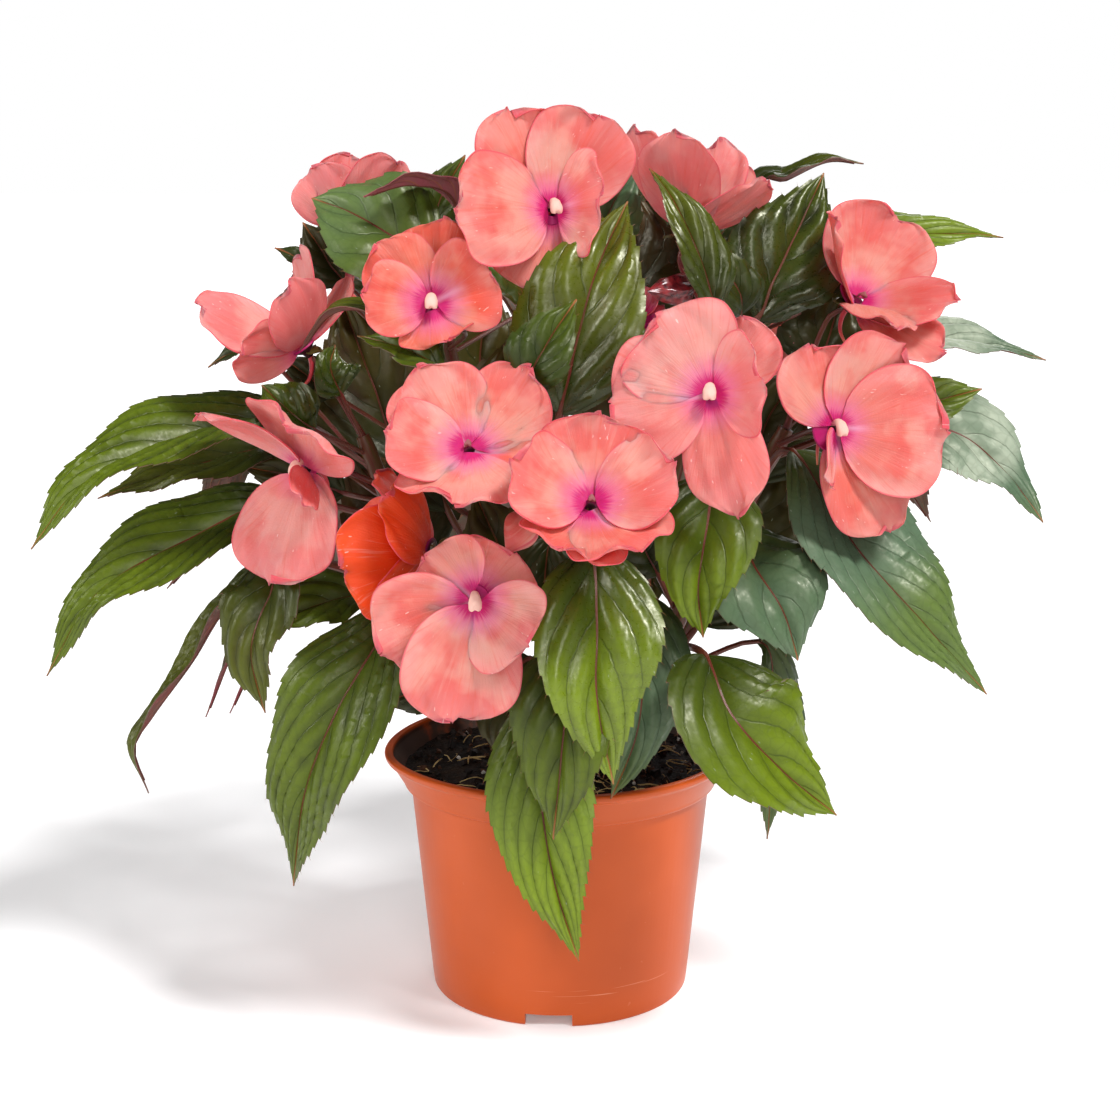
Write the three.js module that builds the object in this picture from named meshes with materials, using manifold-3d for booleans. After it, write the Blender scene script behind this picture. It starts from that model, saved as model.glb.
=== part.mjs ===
// A potted New Guinea impatiens: a nursery pot filled with potting soil, eleven leafy shoots that stand
// in the soil, and their blooms. Millimetres, +Z up. The origin is on the pot's axis at the surface the
// pot stands on, and the side seen in a front view is the -Y side.

import * as THREE from 'three';
import Module from 'manifold-3d';
import { mergeVertices } from 'three/addons/utils/BufferGeometryUtils.js';

// The pot
const potHeight = 86;
const rimRadius = 60;
const lipDrop = 2.6;
const lipEdge = 0.7;
const bandHeight = 12.3;
const bandTopRadius = 58.6;
const bandBottomRadius = 54.6;
const bodyTopRadius = 52.4;
const footRadius = 44.9;
const footWidth = 3.4;
const floorHeight = 5.6;
const wall = 1.5;
const potSides = 28;
const notchWidth = 16;
const notchHeight = 4.4;
const notchAngles = [-95, 25, 145];
const notchOver = 4;
const drainRadius = 3.2;
const drainRing = 30;
const drainCount = 6;

// The soil
const soilLevel = 79;
const soilBump = 1.6;
const soilEdgeDrop = 2;
const soilRings = [20, 38];
const soilSides = 14;
const soilRadius = 52;
const soilSeed = 7;
const gap = 0.35;
const slopeGap = 0.45;

// The stems, leaf blades and flower stalks
const stemRadius = 2.5;
const stemSides = 5;
const stemSteps = 3;
const crownRadius = 3.4;
const crownTop = 84;
const crownDepth = 16;
const stemSink = 2;
const stalkRadius = 0.95;
const stalkSides = 4;
const stalkSteps = 2;
const stalkRun = 9;
const petioleWidth = 2;
const petioleThickness = 1.8;
const bladeThickness = 0.8;
const bladeStep = 17;
const fewestBladeSteps = 3;
const mostBladeSteps = 8;
const spanParts = 40;
const leafTipHalf = 0.5;
const leafWidest = 0.75;
const leafDraw = 0.45;
const leafFull = 1.1;
const toothDepth = 0.07;
const toothReach = 1.6;

// The blooms
const petalThickness = 0.8;
const petalRows = [
  { reach: 0, spread: 0.07 }, { reach: 0.36, spread: 0.84 }, { reach: 0.76, spread: 1 },
  { reach: 0.95, spread: 0.52 },
];
const petalCrown = 0.05;
const edgeBow = 0.6;
const petalStep = 1.1;
const petalSink = 0.6;
const petalSpread = 2.1;
const weldTolerance = 0.08;
const evenAngles = [90, 18, 162, -54, 234];
const evenWidth = 0.96;
const evenFan = 7;
const throatRadius = 2.6;
const throatTop = 0.5;
const throatTaper = 0.6;
const throatDepth = 6;
const throatSides = 5;
const columnRadius = 1.6;
const columnLength = 5;
const columnSides = 4;
const budSteps = 5;
const budWidest = 0.8;

const green = { color: 0x3f6b35, roughness: 0.5, metalness: 0 };
const salmon = { color: 0xf0857a, roughness: 0.6, metalness: 0 };
const cream = { color: 0xf3d3b4, roughness: 0.6, metalness: 0 };
const terracotta = { color: 0xc9623c, roughness: 0.42, metalness: 0 };
const wine = { color: 0x6e1f2a, roughness: 0.4, metalness: 0 };
const peat = { color: 0x2b221c, roughness: 0.95, metalness: 0 };

// Each shoot's stem, from the soil to its tip, and its leaves. A leaf is: how far up the stem it grows
// (0 to 1), the middle line of its blade from foot to tip, its width, the way its upper face looks, and
// how far its halves fold up (1 would be 45 degrees).
const shoots = [
  {
    name: 'shoot_left',
    stem: [[-20, -4, 84], [-44, -8, 138], [-66, -10, 196]],
    leaves: [
      [0.9, [[-90, -12, 202], [-121, -26, 199], [-150, -45, 187], [-166, -58, 167]], 36,
        [-0.35, -0.55, 0.75], 0.25],
      [0.81, [[-90, 10, 189], [-124, 6, 184], [-158, 0, 173]], 30, [-0.3, -0.5, 0.8], 0.25],
      [0.74, [[-92, -14, 175], [-122, -24, 164], [-151, -34, 148], [-169, -36, 120]], 36,
        [-0.45, -0.6, 0.65], 0.2],
      [0.97, [[-72, -18, 211], [-75, -20, 220], [-74, -16, 227]], 18, [0.6, -0.7, 0.1], 0.3],
      [0.94, [[-80, -24, 200], [-89, -25, 207], [-98, -18, 214]], 20, [-0.6, -0.5, 0.6], 0.3],
      [0.86, [[-100, 4, 222], [-111, 6, 222], [-120, 8, 217]], 9, [-0.4, -0.5, 0.7], 0.3],
    ],
  },
  {
    name: 'shoot_front_left',
    stem: [[-15, -21, 84], [-33, -36, 122], [-48, -46, 158]],
    leaves: [
      [0.88, [[-85, -36, 159], [-94, -46, 148], [-99, -52, 132], [-95, -52, 112]], 28,
        [-0.5, -0.8, 0.3], 0.2],
      [0.74, [[-49, -58, 149], [-59, -70, 136], [-70, -78, 118], [-80, -76, 92], [-86, -62, 57]], 38,
        [-0.45, -0.85, 0.3], 0.2],
      [0.35, [[-38, -26, 116], [-48, -26, 112], [-60, -22, 107]], 16, [0, -0.9, 0.4], 0.2],
    ],
  },
  {
    name: 'shoot_front',
    stem: [[5, -25, 84], [8, -40, 128], [8, -58, 165]],
    leaves: [
      [0.5, [[-5, -68, 124], [-6, -78, 95], [-2, -80, 66], [6, -76, 37]], 32, [-0.1, -0.95, 0.3], 0.2],
      [0.66, [[4, -76, 144], [2, -90, 127], [0, -94, 106], [-2, -88, 82]], 32, [-0.3, -0.9, 0.3], 0.2],
      [0.3, [[-10, -44, 128], [-16, -50, 112], [-18, -52, 94]], 28, [-0.1, -0.95, 0.3], 0.2],
      [0.95, [[10, -80, 171], [11, -96, 152], [11, -101, 130], [16, -98, 103]], 37,
        [0.1, -0.85, 0.5], 0.2],
      [0.8, [[23, -50, 152], [26, -66, 133], [24, -70, 110], [16, -70, 89]], 30,
        [0.35, -0.85, 0.4], 0.2],
    ],
  },
  {
    name: 'shoot_front_right',
    stem: [[21, -15, 84], [36, -30, 128], [48, -42, 178]],
    leaves: [
      [0.5, [[45, -71, 136], [52, -88, 122], [68, -88, 104], [86, -80, 87]], 44,
        [0.35, -0.75, 0.6], 0.2],
      [0.35, [[66, -25, 129], [72, -22, 108], [72, -20, 83], [72, -12, 55]], 22, [0.5, -0.7, 0.4], 0.2],
      [0.8, [[56, -40, 168], [62, -56, 160], [70, -64, 148], [75, -62, 132]], 46,
        [0.3, -0.85, 0.4], 0.15],
      [0.95, [[48, -58, 189], [44, -76, 173], [42, -80, 159], [44, -76, 143]], 32,
        [-0.05, -0.9, 0.4], 0.2],
      [0.4, [[46, -22, 134], [52, -20, 150], [58, -16, 166]], 38, [0, -0.9, 0.4], 0.2],
      [0.6, [[32, -36, 154], [27, -40, 164], [22, -42, 176]], 24, [0, -0.9, 0.3], 0.2],
    ],
  },
  {
    name: 'shoot_right',
    stem: [[25, 4, 84], [50, 0, 142], [76, -6, 198]],
    leaves: [
      [0.82, [[76, -24, 193], [95, -40, 165], [114, -50, 144], [139, -44, 116]], 48,
        [0.45, -0.65, 0.6], 0.2],
      [0.91, [[110, 0, 201], [126, 4, 198], [141, 6, 192], [155, 4, 179], [165, -2, 165]], 36,
        [0.5, -0.7, 0.5], 0.15],
      [0.96, [[112, -10, 202], [124, -14, 208], [140, -12, 212]], 18, [0.2, -0.8, 0.6], 0.2],
      [1, [[104, 4, 221], [120, 14, 225], [135, 20, 225], [153, 24, 222], [169, 22, 218]], 24,
        [0.1, -0.45, 0.9], 0.3],
      [0.6, [[78, 18, 158], [104, 22, 142], [122, 24, 116]], 30, [0.5, 0.1, 0.85], 0.2],
      [0.75, [[66, 12, 176], [72, 16, 198], [84, 16, 214]], 44, [0, -0.9, 0.4], 0.2],
      [0.95, [[88, 14, 212], [93, 20, 226], [98, 24, 242]], 34, [0, -0.9, 0.4], 0.2],
      [0.5, [[58, 14, 150], [68, 18, 166], [76, 20, 188]], 42, [0, -0.9, 0.4], 0.2],
    ],
  },
  {
    name: 'shoot_upper_left',
    stem: [[-10, 8, 84], [-25, 6, 162], [-40, -8, 238]],
    leaves: [
      [0.97, [[-43, -15, 254], [-56, -14, 263], [-69, -10, 270], [-82, -2, 274]], 42,
        [-0.1, -0.75, 0.65], 0.15],
      [0.94, [[-34, -8, 271], [-47, -18, 279], [-63, -22, 275]], 14, [0.1, 0.3, 0.9], 0.3],
      [1, [[-42, 10, 258], [-41, 14, 272], [-32, 16, 288]], 18, [0.1, -0.8, 0.5], 0.2],
      [0.91, [[-30, -45, 234], [-47, -48, 238], [-69, -46, 241], [-83, -35, 227]], 16,
        [-0.2, -0.2, 0.95], 0.3],
      [0.87, [[-34, -58, 223], [-48, -58, 230], [-63, -50, 233]], 16, [-0.2, -0.4, 0.9], 0.3],
      [0.83, [[-72, 4, 246], [-80, 4, 257], [-86, 4, 266]], 20, [0, -0.9, 0.2], 0.2],
      [0.79, [[-82, 12, 248], [-90, 13, 254], [-97, 14, 257]], 9, [-0.3, -0.6, 0.7], 0.3],
      [0.74, [[-58, 30, 236], [-78, 46, 246], [-104, 58, 236]], 36, [-0.4, 0.3, 0.9], 0.2],
      [0.35, [[-38, -6, 170], [-43, -2, 196], [-49, 4, 216]], 33, [0.1, -0.9, 0.4], 0.2],
      [0.5, [[-54, 24, 180], [-66, 32, 208], [-78, 38, 240]], 48, [0, -0.9, 0.3], 0.2],
      [0.3, [[-46, 14, 146], [-60, 20, 168], [-76, 24, 188]], 44, [0.1, -0.9, 0.3], 0.2],
      [0.6, [[-22, 22, 192], [-28, 26, 216], [-24, 30, 244]], 44, [0.1, -0.9, 0.3], 0.2],
    ],
  },
  {
    name: 'shoot_centre',
    stem: [[2, -2, 84], [1, -20, 150], [0, -40, 212]],
    leaves: [
      [0.96, [[0, -60, 210], [7, -62, 240], [12, -58, 256], [21, -42, 274]], 40,
        [-0.2, -0.9, 0.2], 0.15],
      [0.92, [[-9, -72, 220], [-4, -76, 233], [5, -72, 246]], 20, [-0.2, -0.9, 0.3], 0.2],
      [1, [[12, 6, 256], [18, 12, 272], [26, 18, 284]], 24, [-0.1, -0.9, 0.3], 0.15],
      [0.85, [[-16, -44, 190], [-18, -46, 212], [-16, -40, 232]], 34, [-0.1, -0.9, 0.3], 0.2],
      [0.8, [[18, -32, 188], [22, -32, 217], [19, -26, 242]], 34, [0.1, -0.9, 0.3], 0.2],
      [0.5, [[-12, -26, 146], [-20, -28, 162], [-28, -28, 180]], 34, [0, -0.9, 0.4], 0.2],
      [0.4, [[-3, -36, 164], [-5, -42, 152], [-5, -44, 133]], 18, [0, -0.9, 0.3], 0.2],
    ],
  },
  {
    name: 'shoot_upper_right',
    stem: [[13, 15, 84], [34, 12, 160], [54, 0, 230]],
    leaves: [
      [0.88, [[94, 8, 253], [112, 22, 260], [126, 28, 261], [141, 30, 261], [153, 25, 260]], 20,
        [0.1, -0.65, 0.75], 0.25],
      [0.96, [[66, 0, 234], [71, 0, 246], [81, 6, 266], [89, 14, 282]], 38,
        [0.1, -0.95, 0.2], 0.05],
      [0.92, [[66, 25, 275], [78, 28, 280], [92, 28, 286], [104, 25, 285]], 16,
        [-0.1, -0.15, 0.98], 0.3],
      [1, [[49, -42, 240], [44, -45, 256], [36, -42, 273], [28, -35, 284]], 18, [0.5, -0.8, 0.2], 0.35],
      [0.84, [[58, -28, 238], [54, -33, 251], [49, -34, 261]], 16, [0.5, -0.8, 0.2], 0.3],
      [0.8, [[52, 36, 250], [64, 54, 264], [84, 72, 260]], 34, [0.2, 0.4, 0.9], 0.2],
      [0.75, [[46, 14, 222], [54, 18, 242], [64, 20, 258]], 42, [0, -0.9, 0.4], 0.2],
      [0.85, [[31, 22, 232], [27, 28, 251], [25, 34, 276]], 40, [0, -0.9, 0.3], 0.2],
    ],
  },
  {
    name: 'shoot_back_left',
    stem: [[-16, 21, 84], [-40, 38, 128], [-62, 50, 172]],
    leaves: [
      [0.6, [[-98, 25, 146], [-118, 18, 132], [-131, 14, 112], [-145, 10, 93], [-151, 6, 82], [-146, 5, 66]],
        24, [-0.75, -0.15, 0.65], 0.25],
      [0.5, [[-92, 45, 138], [-117, 52, 116], [-133, 50, 81]], 14, [-0.75, -0.1, 0.6], 0.25],
      [0.4, [[-82, 55, 130], [-110, 64, 108], [-126, 62, 79]], 12, [-0.7, 0.1, 0.6], 0.25],
      [0.45, [[-68, 30, 132], [-86, 26, 130], [-106, 20, 122]], 26, [-0.3, -0.6, 0.7], 0.25],
      [0.95, [[-86, 46, 190], [-116, 70, 184], [-136, 92, 142]], 36, [-0.5, 0.3, 0.8], 0.2],
      [0.77, [[-72, 66, 164], [-86, 92, 148], [-94, 114, 106]], 36, [-0.45, 0.6, 0.6], 0.2],
      [0.86, [[-92, 40, 168], [-124, 48, 152], [-146, 52, 130]], 34, [-0.6, 0.2, 0.8], 0.2],
    ],
  },
  {
    name: 'shoot_back',
    stem: [[2, 27, 84], [0, 50, 134], [0, 66, 196]],
    leaves: [
      [0.6, [[-20, 84, 160], [-32, 109, 146], [-42, 129, 104]], 38, [-0.3, 0.8, 0.5], 0.2],
      [0.45, [[4, 88, 146], [10, 112, 128], [12, 124, 84]], 34, [0.1, 0.85, 0.5], 0.2],
      [0.7, [[30, 86, 172], [42, 108, 158], [52, 128, 116]], 36, [0.3, 0.8, 0.5], 0.2],
      [0.8, [[14, 84, 204], [26, 106, 204], [36, 126, 184]], 32, [0.2, 0.65, 0.75], 0.2],
      [1, [[-14, 70, 226], [-26, 80, 242], [-40, 92, 248]], 32, [-0.1, 0.3, 0.9], 0.2],
    ],
  },
  {
    name: 'shoot_back_right',
    stem: [[21, 21, 84], [46, 42, 132], [66, 54, 184]],
    leaves: [
      [0.88, [[88, 50, 192], [116, 66, 186], [142, 80, 150]], 36, [0.5, 0.4, 0.8], 0.2],
      [0.7, [[76, 66, 164], [92, 88, 152], [102, 108, 120]], 36, [0.5, 0.6, 0.6], 0.2],
      [0.6, [[90, 50, 156], [120, 56, 144], [142, 62, 116]], 34, [0.6, 0.3, 0.75], 0.2],
      [1, [[62, 46, 218], [78, 50, 238], [100, 58, 240]], 32, [0.2, 0.3, 0.9], 0.2],
    ],
  },
];

// Each bloom: the shoot that its stalk grows from and how far up, its throat, the way it faces, and its
// petals. A petal is: its tip, its width, how far its middle bows towards its inner face, how far its
// edge runs to a point (above 0) or dips to a notch (below 0), and the way its inner face looks where
// that isn't the bloom's own.
const blooms = [
  {
    name: 'bloom_top', shoot: 'shoot_centre', from: 1, throat: [-2, -50, 272], face: [0.3, -0.9, 0.3],
    petals: [
      [[-16, -48, 303], 32, -1, -0.03],
      [[13, -45, 302], 34, -2, -0.04],
      [[-32, -68, 273], 36, 1, 0],
      [[13, -61, 276], 34, 0, 0],
      [[-8, -52, 247], 34, 0, 0.02],
    ],
  },
  {
    name: 'bloom_upper_left', shoot: 'shoot_upper_left', from: 0.95, throat: [-39, -62, 244],
    face: [0, -0.95, 0.3],
    petals: [
      [[-36, -52, 269], 28, -1, 0.02],
      [[-56, -58, 262], 24, -1, 0],
      [[-59, -71, 248], 24, -2, 0],
      [[-20, -64, 254], 30, -1, 0],
      [[-34, -66, 233], 28, 0, 0],
    ],
  },
  {
    name: 'bloom_far_left', shoot: 'shoot_upper_left', from: 1, throat: [-73, 14, 266],
    face: [-0.2, 0.75, 0.6],
    petals: [
      [[-83, 8, 284], 24, -1, 0],
      [[-70, 14, 289], 24, 0, -0.03],
      [[-53, 8, 287], 25, -1, 0],
      [[-85, 38, 277], 24, -2, 0],
      [[-64, 32, 270], 24, -1, 0],
    ],
  },
  {
    name: 'bloom_left', shoot: 'shoot_left', from: 1, throat: [-85, -22, 229], face: [-0.55, -0.15, 0.8],
    petals: [
      [[-117, -30, 242], 28, -2, 0, [-0.1, -0.5, 0.85]],
      [[-103, -40, 226], 23, -1, 0, [-0.3, -0.85, -0.2]],
      [[-85, -44, 249], 24, -3, 0],
      [[-86, -10, 259], 13, -3, 0],
      [[-69, -8, 251], 22, -2, 0],
    ],
  },
  {
    name: 'bloom_low_left', shoot: 'shoot_left', from: 0.85, throat: [-82, -48, 191],
    face: [-0.6, -0.75, 0.1],
    petals: [
      [[-91, -56, 155], 38, 2, 0, [-0.45, -0.88, 0]],
      [[-82, -75, 210], 40, -4, 0, [-0.55, -0.28, -0.78]],
      [[-113, -57, 209], 24, -4, 0, [-0.35, -0.38, -0.85]],
      [[-79, -70, 184], 14, 0, 0, [-0.6, -0.3, -0.6]],
      [[-75, -52, 166], 22, 0, 0, [-0.7, -0.7, 0]],
    ],
  },
  {
    name: 'bloom_low_middle', shoot: 'shoot_front_left', from: 1, throat: [-42, -74, 170],
    face: [-0.88, 0.35, 0.1],
    petals: [
      [[-66, -92, 168], 36, 3, 0, [0.55, -0.83, 0]],
      [[-52, -92, 190], 26, 2, 0, [0.8, -0.5, 0.3]],
      [[-56, -64, 193], 28, -2, 0],
      [[-66, -60, 172], 28, -2, 0],
      [[-52, -84, 150], 26, 2, 0, [0.7, -0.7, -0.2]],
    ],
  },
  {
    name: 'bloom_low_front', shoot: 'shoot_front_left', from: 0.95, throat: [-25, -100, 160],
    face: [0.05, -0.97, -0.05],
    petals: [
      [[-40, -98, 173], 28, 0, 0],
      [[-13, -94, 173], 28, -1, 0],
      [[-9, -108, 148], 31, 0, 0],
      [[-53, -100, 144], 36, -1, 0],
      [[-32, -104, 123], 36, 1, 0],
    ],
  },
  {
    name: 'bloom_middle_left', shoot: 'shoot_centre', from: 0.9, throat: [-27, -88, 204],
    face: [-0.1, -0.72, 0.7],
    petals: [
      [[-43, -76, 226], 32, -2, 0],
      [[-8, -80, 226], 30, -2, 0],
      [[-4, -94, 203], 26, 0, 0],
      [[-51, -95, 211], 30, -3, 0],
      [[-31, -111, 192], 38, -2, 0],
    ],
  },
  {
    name: 'bloom_middle', shoot: 'shoot_front', from: 1, throat: [9, -108, 191], face: [0.05, -0.7, 0.72],
    petals: [
      [[12, -98, 215], 36, -3, 0],
      [[-13, -114, 205], 32, -2, 0],
      [[32, -114, 204], 32, -2, 0],
      [[1, -129, 181], 32, -3, 0],
      [[22, -130, 182], 32, -2, 0],
    ],
  },
  {
    name: 'bloom_large', shoot: 'shoot_front_right', from: 1, throat: [44, -90, 220],
    face: [-0.15, -0.95, 0.22],
    petals: [
      [[14, -88, 217], 38, 0, 0],
      [[28, -86, 242], 38, 0, 0],
      [[53, -86, 243], 32, -2, 0],
      [[58, -102, 226], 32, -1, 0],
      [[52, -94, 186], 25, 2, 0.12],
    ],
  },
  {
    name: 'bloom_right', shoot: 'shoot_right', from: 0.95, throat: [86, -58, 205], face: [0.4, -0.9, 0.15],
    petals: [
      [[77, -56, 231], 31, 0, 0],
      [[107, -48, 230], 32, -1, 0],
      [[122, -50, 203], 42, 2, 0],
      [[105, -52, 171], 31, 1, 0.03],
      [[82, -74, 190], 18, -1, 0, [0.9, -0.3, 0]],
    ],
  },
  {
    name: 'bloom_upper_right', shoot: 'shoot_right', from: 1, throat: [99, -12, 242],
    face: [0.72, -0.35, 0.6],
    petals: [
      [[87, -30, 269], 24, -2, 0],
      [[112, -4, 271], 40, -2, -0.03, [0.3, -0.8, 0.5]],
      [[107, -39, 235], 24, 2, 0, [0.3, -0.35, 0.9]],
      [[128, -26, 243], 26, -1, 0, [0.4, -0.6, 0.6]],
      [[124, -28, 226], 22, -1, 0.05, [0.4, -0.8, 0.4]],
    ],
  },
  {
    name: 'bloom_far_right', shoot: 'shoot_upper_right', from: 1, throat: [43, 4, 266],
    face: [0.15, 0.15, 0.95],
    petals: [
      [[25, -6, 298], 28, -3, 0],
      [[37, -22, 296], 28, -3, 0],
      [[54, 20, 293], 28, -3, 0],
      [[68, -8, 280], 26, -2, 0],
      [[60, 26, 287], 26, -2, 0],
    ],
  },
  {
    name: 'bloom_behind', shoot: 'shoot_upper_right', from: 0.95, throat: [24, -42, 238],
    face: [-0.4, -0.6, 0.6],
    petals: [
      [[18, -46, 246], 12, -1, 0],
      [[26, -38, 248], 12, -1, 0],
      [[16, -52, 234], 12, -1, 0],
      [[33, -38, 241], 12, -1, 0],
      [[28, -50, 230], 12, -1, 0],
    ],
  },
  {
    name: 'bloom_back_left', shoot: 'shoot_back_left', from: 1, throat: [-62, 92, 222],
    face: [-0.4, 0.75, 0.5], open: { size: 27, lift: 12, turn: 8 },
  },
  {
    name: 'bloom_back_top', shoot: 'shoot_back', from: 1, throat: [6, 92, 240],
    face: [0, 0.6, 0.8], open: { size: 26, lift: 18, turn: -20 },
  },
  {
    name: 'bloom_back_right', shoot: 'shoot_back_right', from: 1, throat: [74, 92, 216],
    face: [0.5, 0.75, 0.4], open: { size: 28, lift: 10, turn: 25 },
  },
];

// A closed bud: the shoot and how far up, its foot, its tip, its greatest width and its finish.
const buds = [
  {
    name: 'bud_pink', shoot: 'shoot_front', from: 0.98, foot: [-8, -84, 184], tip: [-16, -90, 172],
    width: 11, finish: 'salmon',
  },
  {
    name: 'bud_wilted', shoot: 'shoot_upper_right', from: 0.98, foot: [43, -38, 247], tip: [27, -52, 247],
    width: 9, finish: 'wine',
  },
];

const wasm = await Module();
wasm.setup();
const group = new THREE.Group();
group.name = 'potted_impatiens';

const vector = ([x, y, z]) => new THREE.Vector3(x, y, z);

// A closed geometry as a solid for joining and cutting.
function solid(geometry) {
  const bare = geometry.clone();
  bare.deleteAttribute('normal');
  bare.deleteAttribute('uv');
  const merged = mergeVertices(bare, 1e-4);
  return new wasm.Manifold(new wasm.Mesh({
    numProp: 3,
    vertProperties: new Float32Array(merged.getAttribute('position').array),
    triVerts: new Uint32Array(merged.getIndex().array),
  }));
}

function addNode(name, body, finish) {
  const { vertProperties, triVerts } = body.getMesh();
  const geometry = new THREE.BufferGeometry();
  geometry.setAttribute('position', new THREE.BufferAttribute(new Float32Array(vertProperties), 3));
  geometry.setIndex(new THREE.BufferAttribute(new Uint32Array(triVerts), 1));
  geometry.computeVertexNormals();
  const mesh = new THREE.Mesh(geometry, new THREE.MeshStandardMaterial(finish));
  mesh.name = name;
  group.add(mesh);
}

// Bodies joined into one, without the scraps and sealed hollows that joining can leave.
function joined(bodies) {
  const whole = bodies.reduce((all, body) => all.add(body)).simplify(weldTolerance);
  return whole.decompose().sort((a, b) => b.volume() - a.volume())[0];
}

// A round rod of even thickness along a smooth curve through the points.
function rod(points, radius, sides, steps) {
  const section = new THREE.Shape();
  for (let i = 0; i < sides; i += 1) {
    const angle = (2 * Math.PI * i) / sides;
    section.lineTo(radius * Math.cos(angle), radius * Math.sin(angle));
  }
  section.closePath();
  return new THREE.ExtrudeGeometry(section, {
    steps, curveSegments: 1, bevelEnabled: false, extrudePath: curveThrough(points),
  });
}

const curveThrough = (points) => new THREE.CatmullRomCurve3(points, false, 'catmullrom', 0.5);

// A closed blade from rows of points on its middle surface. Both faces are split along the same
// diagonals, which mirror about the middle column.
function sheet(rows, thicknessOf) {
  const across = rows[0].length;
  const normals = rows.map((row, r) => row.map((_, c) => {
    const along = rows[Math.min(r + 1, rows.length - 1)][c].clone().sub(rows[Math.max(r - 1, 0)][c]);
    const over = row[Math.min(c + 1, across - 1)].clone().sub(row[Math.max(c - 1, 0)]);
    return over.cross(along).normalize();
  }));
  const position = [];
  for (const side of [0.5, -0.5]) {
    rows.forEach((row, r) => row.forEach((point, c) => {
      position.push(...point.clone().addScaledVector(normals[r][c], side * thicknessOf(r)).toArray());
    }));
  }
  const under = rows.length * across;
  const index = [];
  const face = (a, b, c) => {
    index.push(a, b, c, under + a, under + c, under + b);
  };
  for (let r = 0; r + 1 < rows.length; r += 1) {
    for (let c = 0; c + 1 < across; c += 1) {
      const [a, b] = [r * across + c, r * across + c + 1];
      const [d, e] = [a + across, b + across];
      if (c < (across - 1) / 2) {
        face(a, b, e);
        face(a, e, d);
      } else {
        face(a, b, d);
        face(b, e, d);
      }
    }
  }
  const edge = (a, b) => index.push(a, under + b, b, a, under + a, under + b);
  const last = (rows.length - 1) * across;
  for (let c = 0; c + 1 < across; c += 1) {
    edge(c, c + 1);
    edge(last + c + 1, last + c);
  }
  for (let r = 0; r + 1 < rows.length; r += 1) {
    edge((r + 1) * across, r * across);
    edge(r * across + across - 1, (r + 1) * across + across - 1);
  }
  const geometry = new THREE.BufferGeometry();
  geometry.setAttribute('position', new THREE.BufferAttribute(new Float32Array(position), 3));
  geometry.setIndex(index);
  return geometry;
}

// Half the blade's width as a share of its greatest, from its foot (0) to its drawn-out tip (1).
function leafOutline(s) {
  return Math.sin(Math.PI * s ** leafWidest) * (1 - leafDraw * s ** 2) * leafFull;
}

// A leaf from the middle of the stem to its tip: a short stalk that widens into a toothed blade.
function leaf(foot, [, line, width, face, fold]) {
  const curve = curveThrough([foot, ...line.map(vector)]);
  const upper = vector(face).normalize();
  curve.arcLengthDivisions = line.length * spanParts;
  const lengths = curve.getLengths();
  const whole = lengths[lengths.length - 1];
  const stalkPart = lengths[spanParts] / whole;
  const rows = [];
  const thick = [];
  const addRow = (part, half, rise, forward) => {
    const along = curve.getTangentAt(part);
    const side = along.clone().cross(upper).normalize();
    const up = side.clone().cross(along).normalize();
    const middle = curve.getPointAt(part);
    const edgePoint = (sign) => middle.clone().addScaledVector(side, sign * half)
      .addScaledVector(up, rise).addScaledVector(along, forward);
    rows.push([edgePoint(-1), middle, edgePoint(1)]);
  };
  addRow(0, petioleWidth / 2, 0, 0);
  thick.push(petioleThickness);
  const wanted = Math.round((whole - lengths[spanParts]) / bladeStep);
  const bladeSteps = Math.min(mostBladeSteps, Math.max(fewestBladeSteps, wanted));
  for (let i = 0; i <= bladeSteps; i += 1) {
    const s = i / bladeSteps;
    const isTooth = i % 2 === 1 && i < bladeSteps;
    const share = leafOutline(s) * (isTooth ? 1 + toothDepth : 1 - toothDepth);
    const half = Math.max((width / 2) * share, i === 0 ? petioleWidth / 2 : leafTipHalf);
    addRow(stalkPart + (1 - stalkPart) * s, half, fold * half, isTooth ? toothReach : 0);
    thick.push(i === 0 ? petioleThickness : bladeThickness);
  }
  return solid(sheet(rows, (r) => thick[r]));
}

// Directions seen from in front of a bloom: right, up and out towards the viewer.
function bloomFrame(face) {
  const out = vector(face).normalize();
  const right = new THREE.Vector3(0, 0, 1).cross(out).normalize();
  const up = out.clone().cross(right).normalize();
  return { out, right, up };
}

// A petal as a thin, dished blade that widens from its claw at the throat to its rounded edge.
function petal(root, face, [tip, width, bow, peak, ownFace]) {
  const reachOut = vector(tip).sub(root);
  const away = reachOut.clone().normalize();
  const side = away.clone().cross(vector(ownFace ?? face)).normalize();
  const inward = side.clone().cross(away).normalize();
  const rows = petalRows.map(({ reach, spread }, r) => [-1, 0, 1].map((c) => {
    const isEnd = r === petalRows.length - 1;
    const share = isEnd && c === 0 ? 1 + peak : reach - (isEnd ? petalCrown : 0);
    return root.clone().addScaledVector(reachOut, share)
      .addScaledVector(inward, 4 * bow * share * (1 - share) * (c === 0 ? 1 : edgeBow))
      .addScaledVector(side, (width / 2) * spread * c);
  }));
  return solid(sheet(rows, () => petalThickness));
}

// Where a petal leaves the throat: each layer sits above the one before, and a little further out.
function petalRoot(at, frame, tip, layer, count) {
  const outward = vector(tip).sub(at).projectOnPlane(frame.out).normalize();
  return at.clone().addScaledVector(frame.out, (layer - count + 1) * petalStep - petalSink)
    .addScaledVector(outward, (petalSpread * layer) / (count - 1));
}

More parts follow.
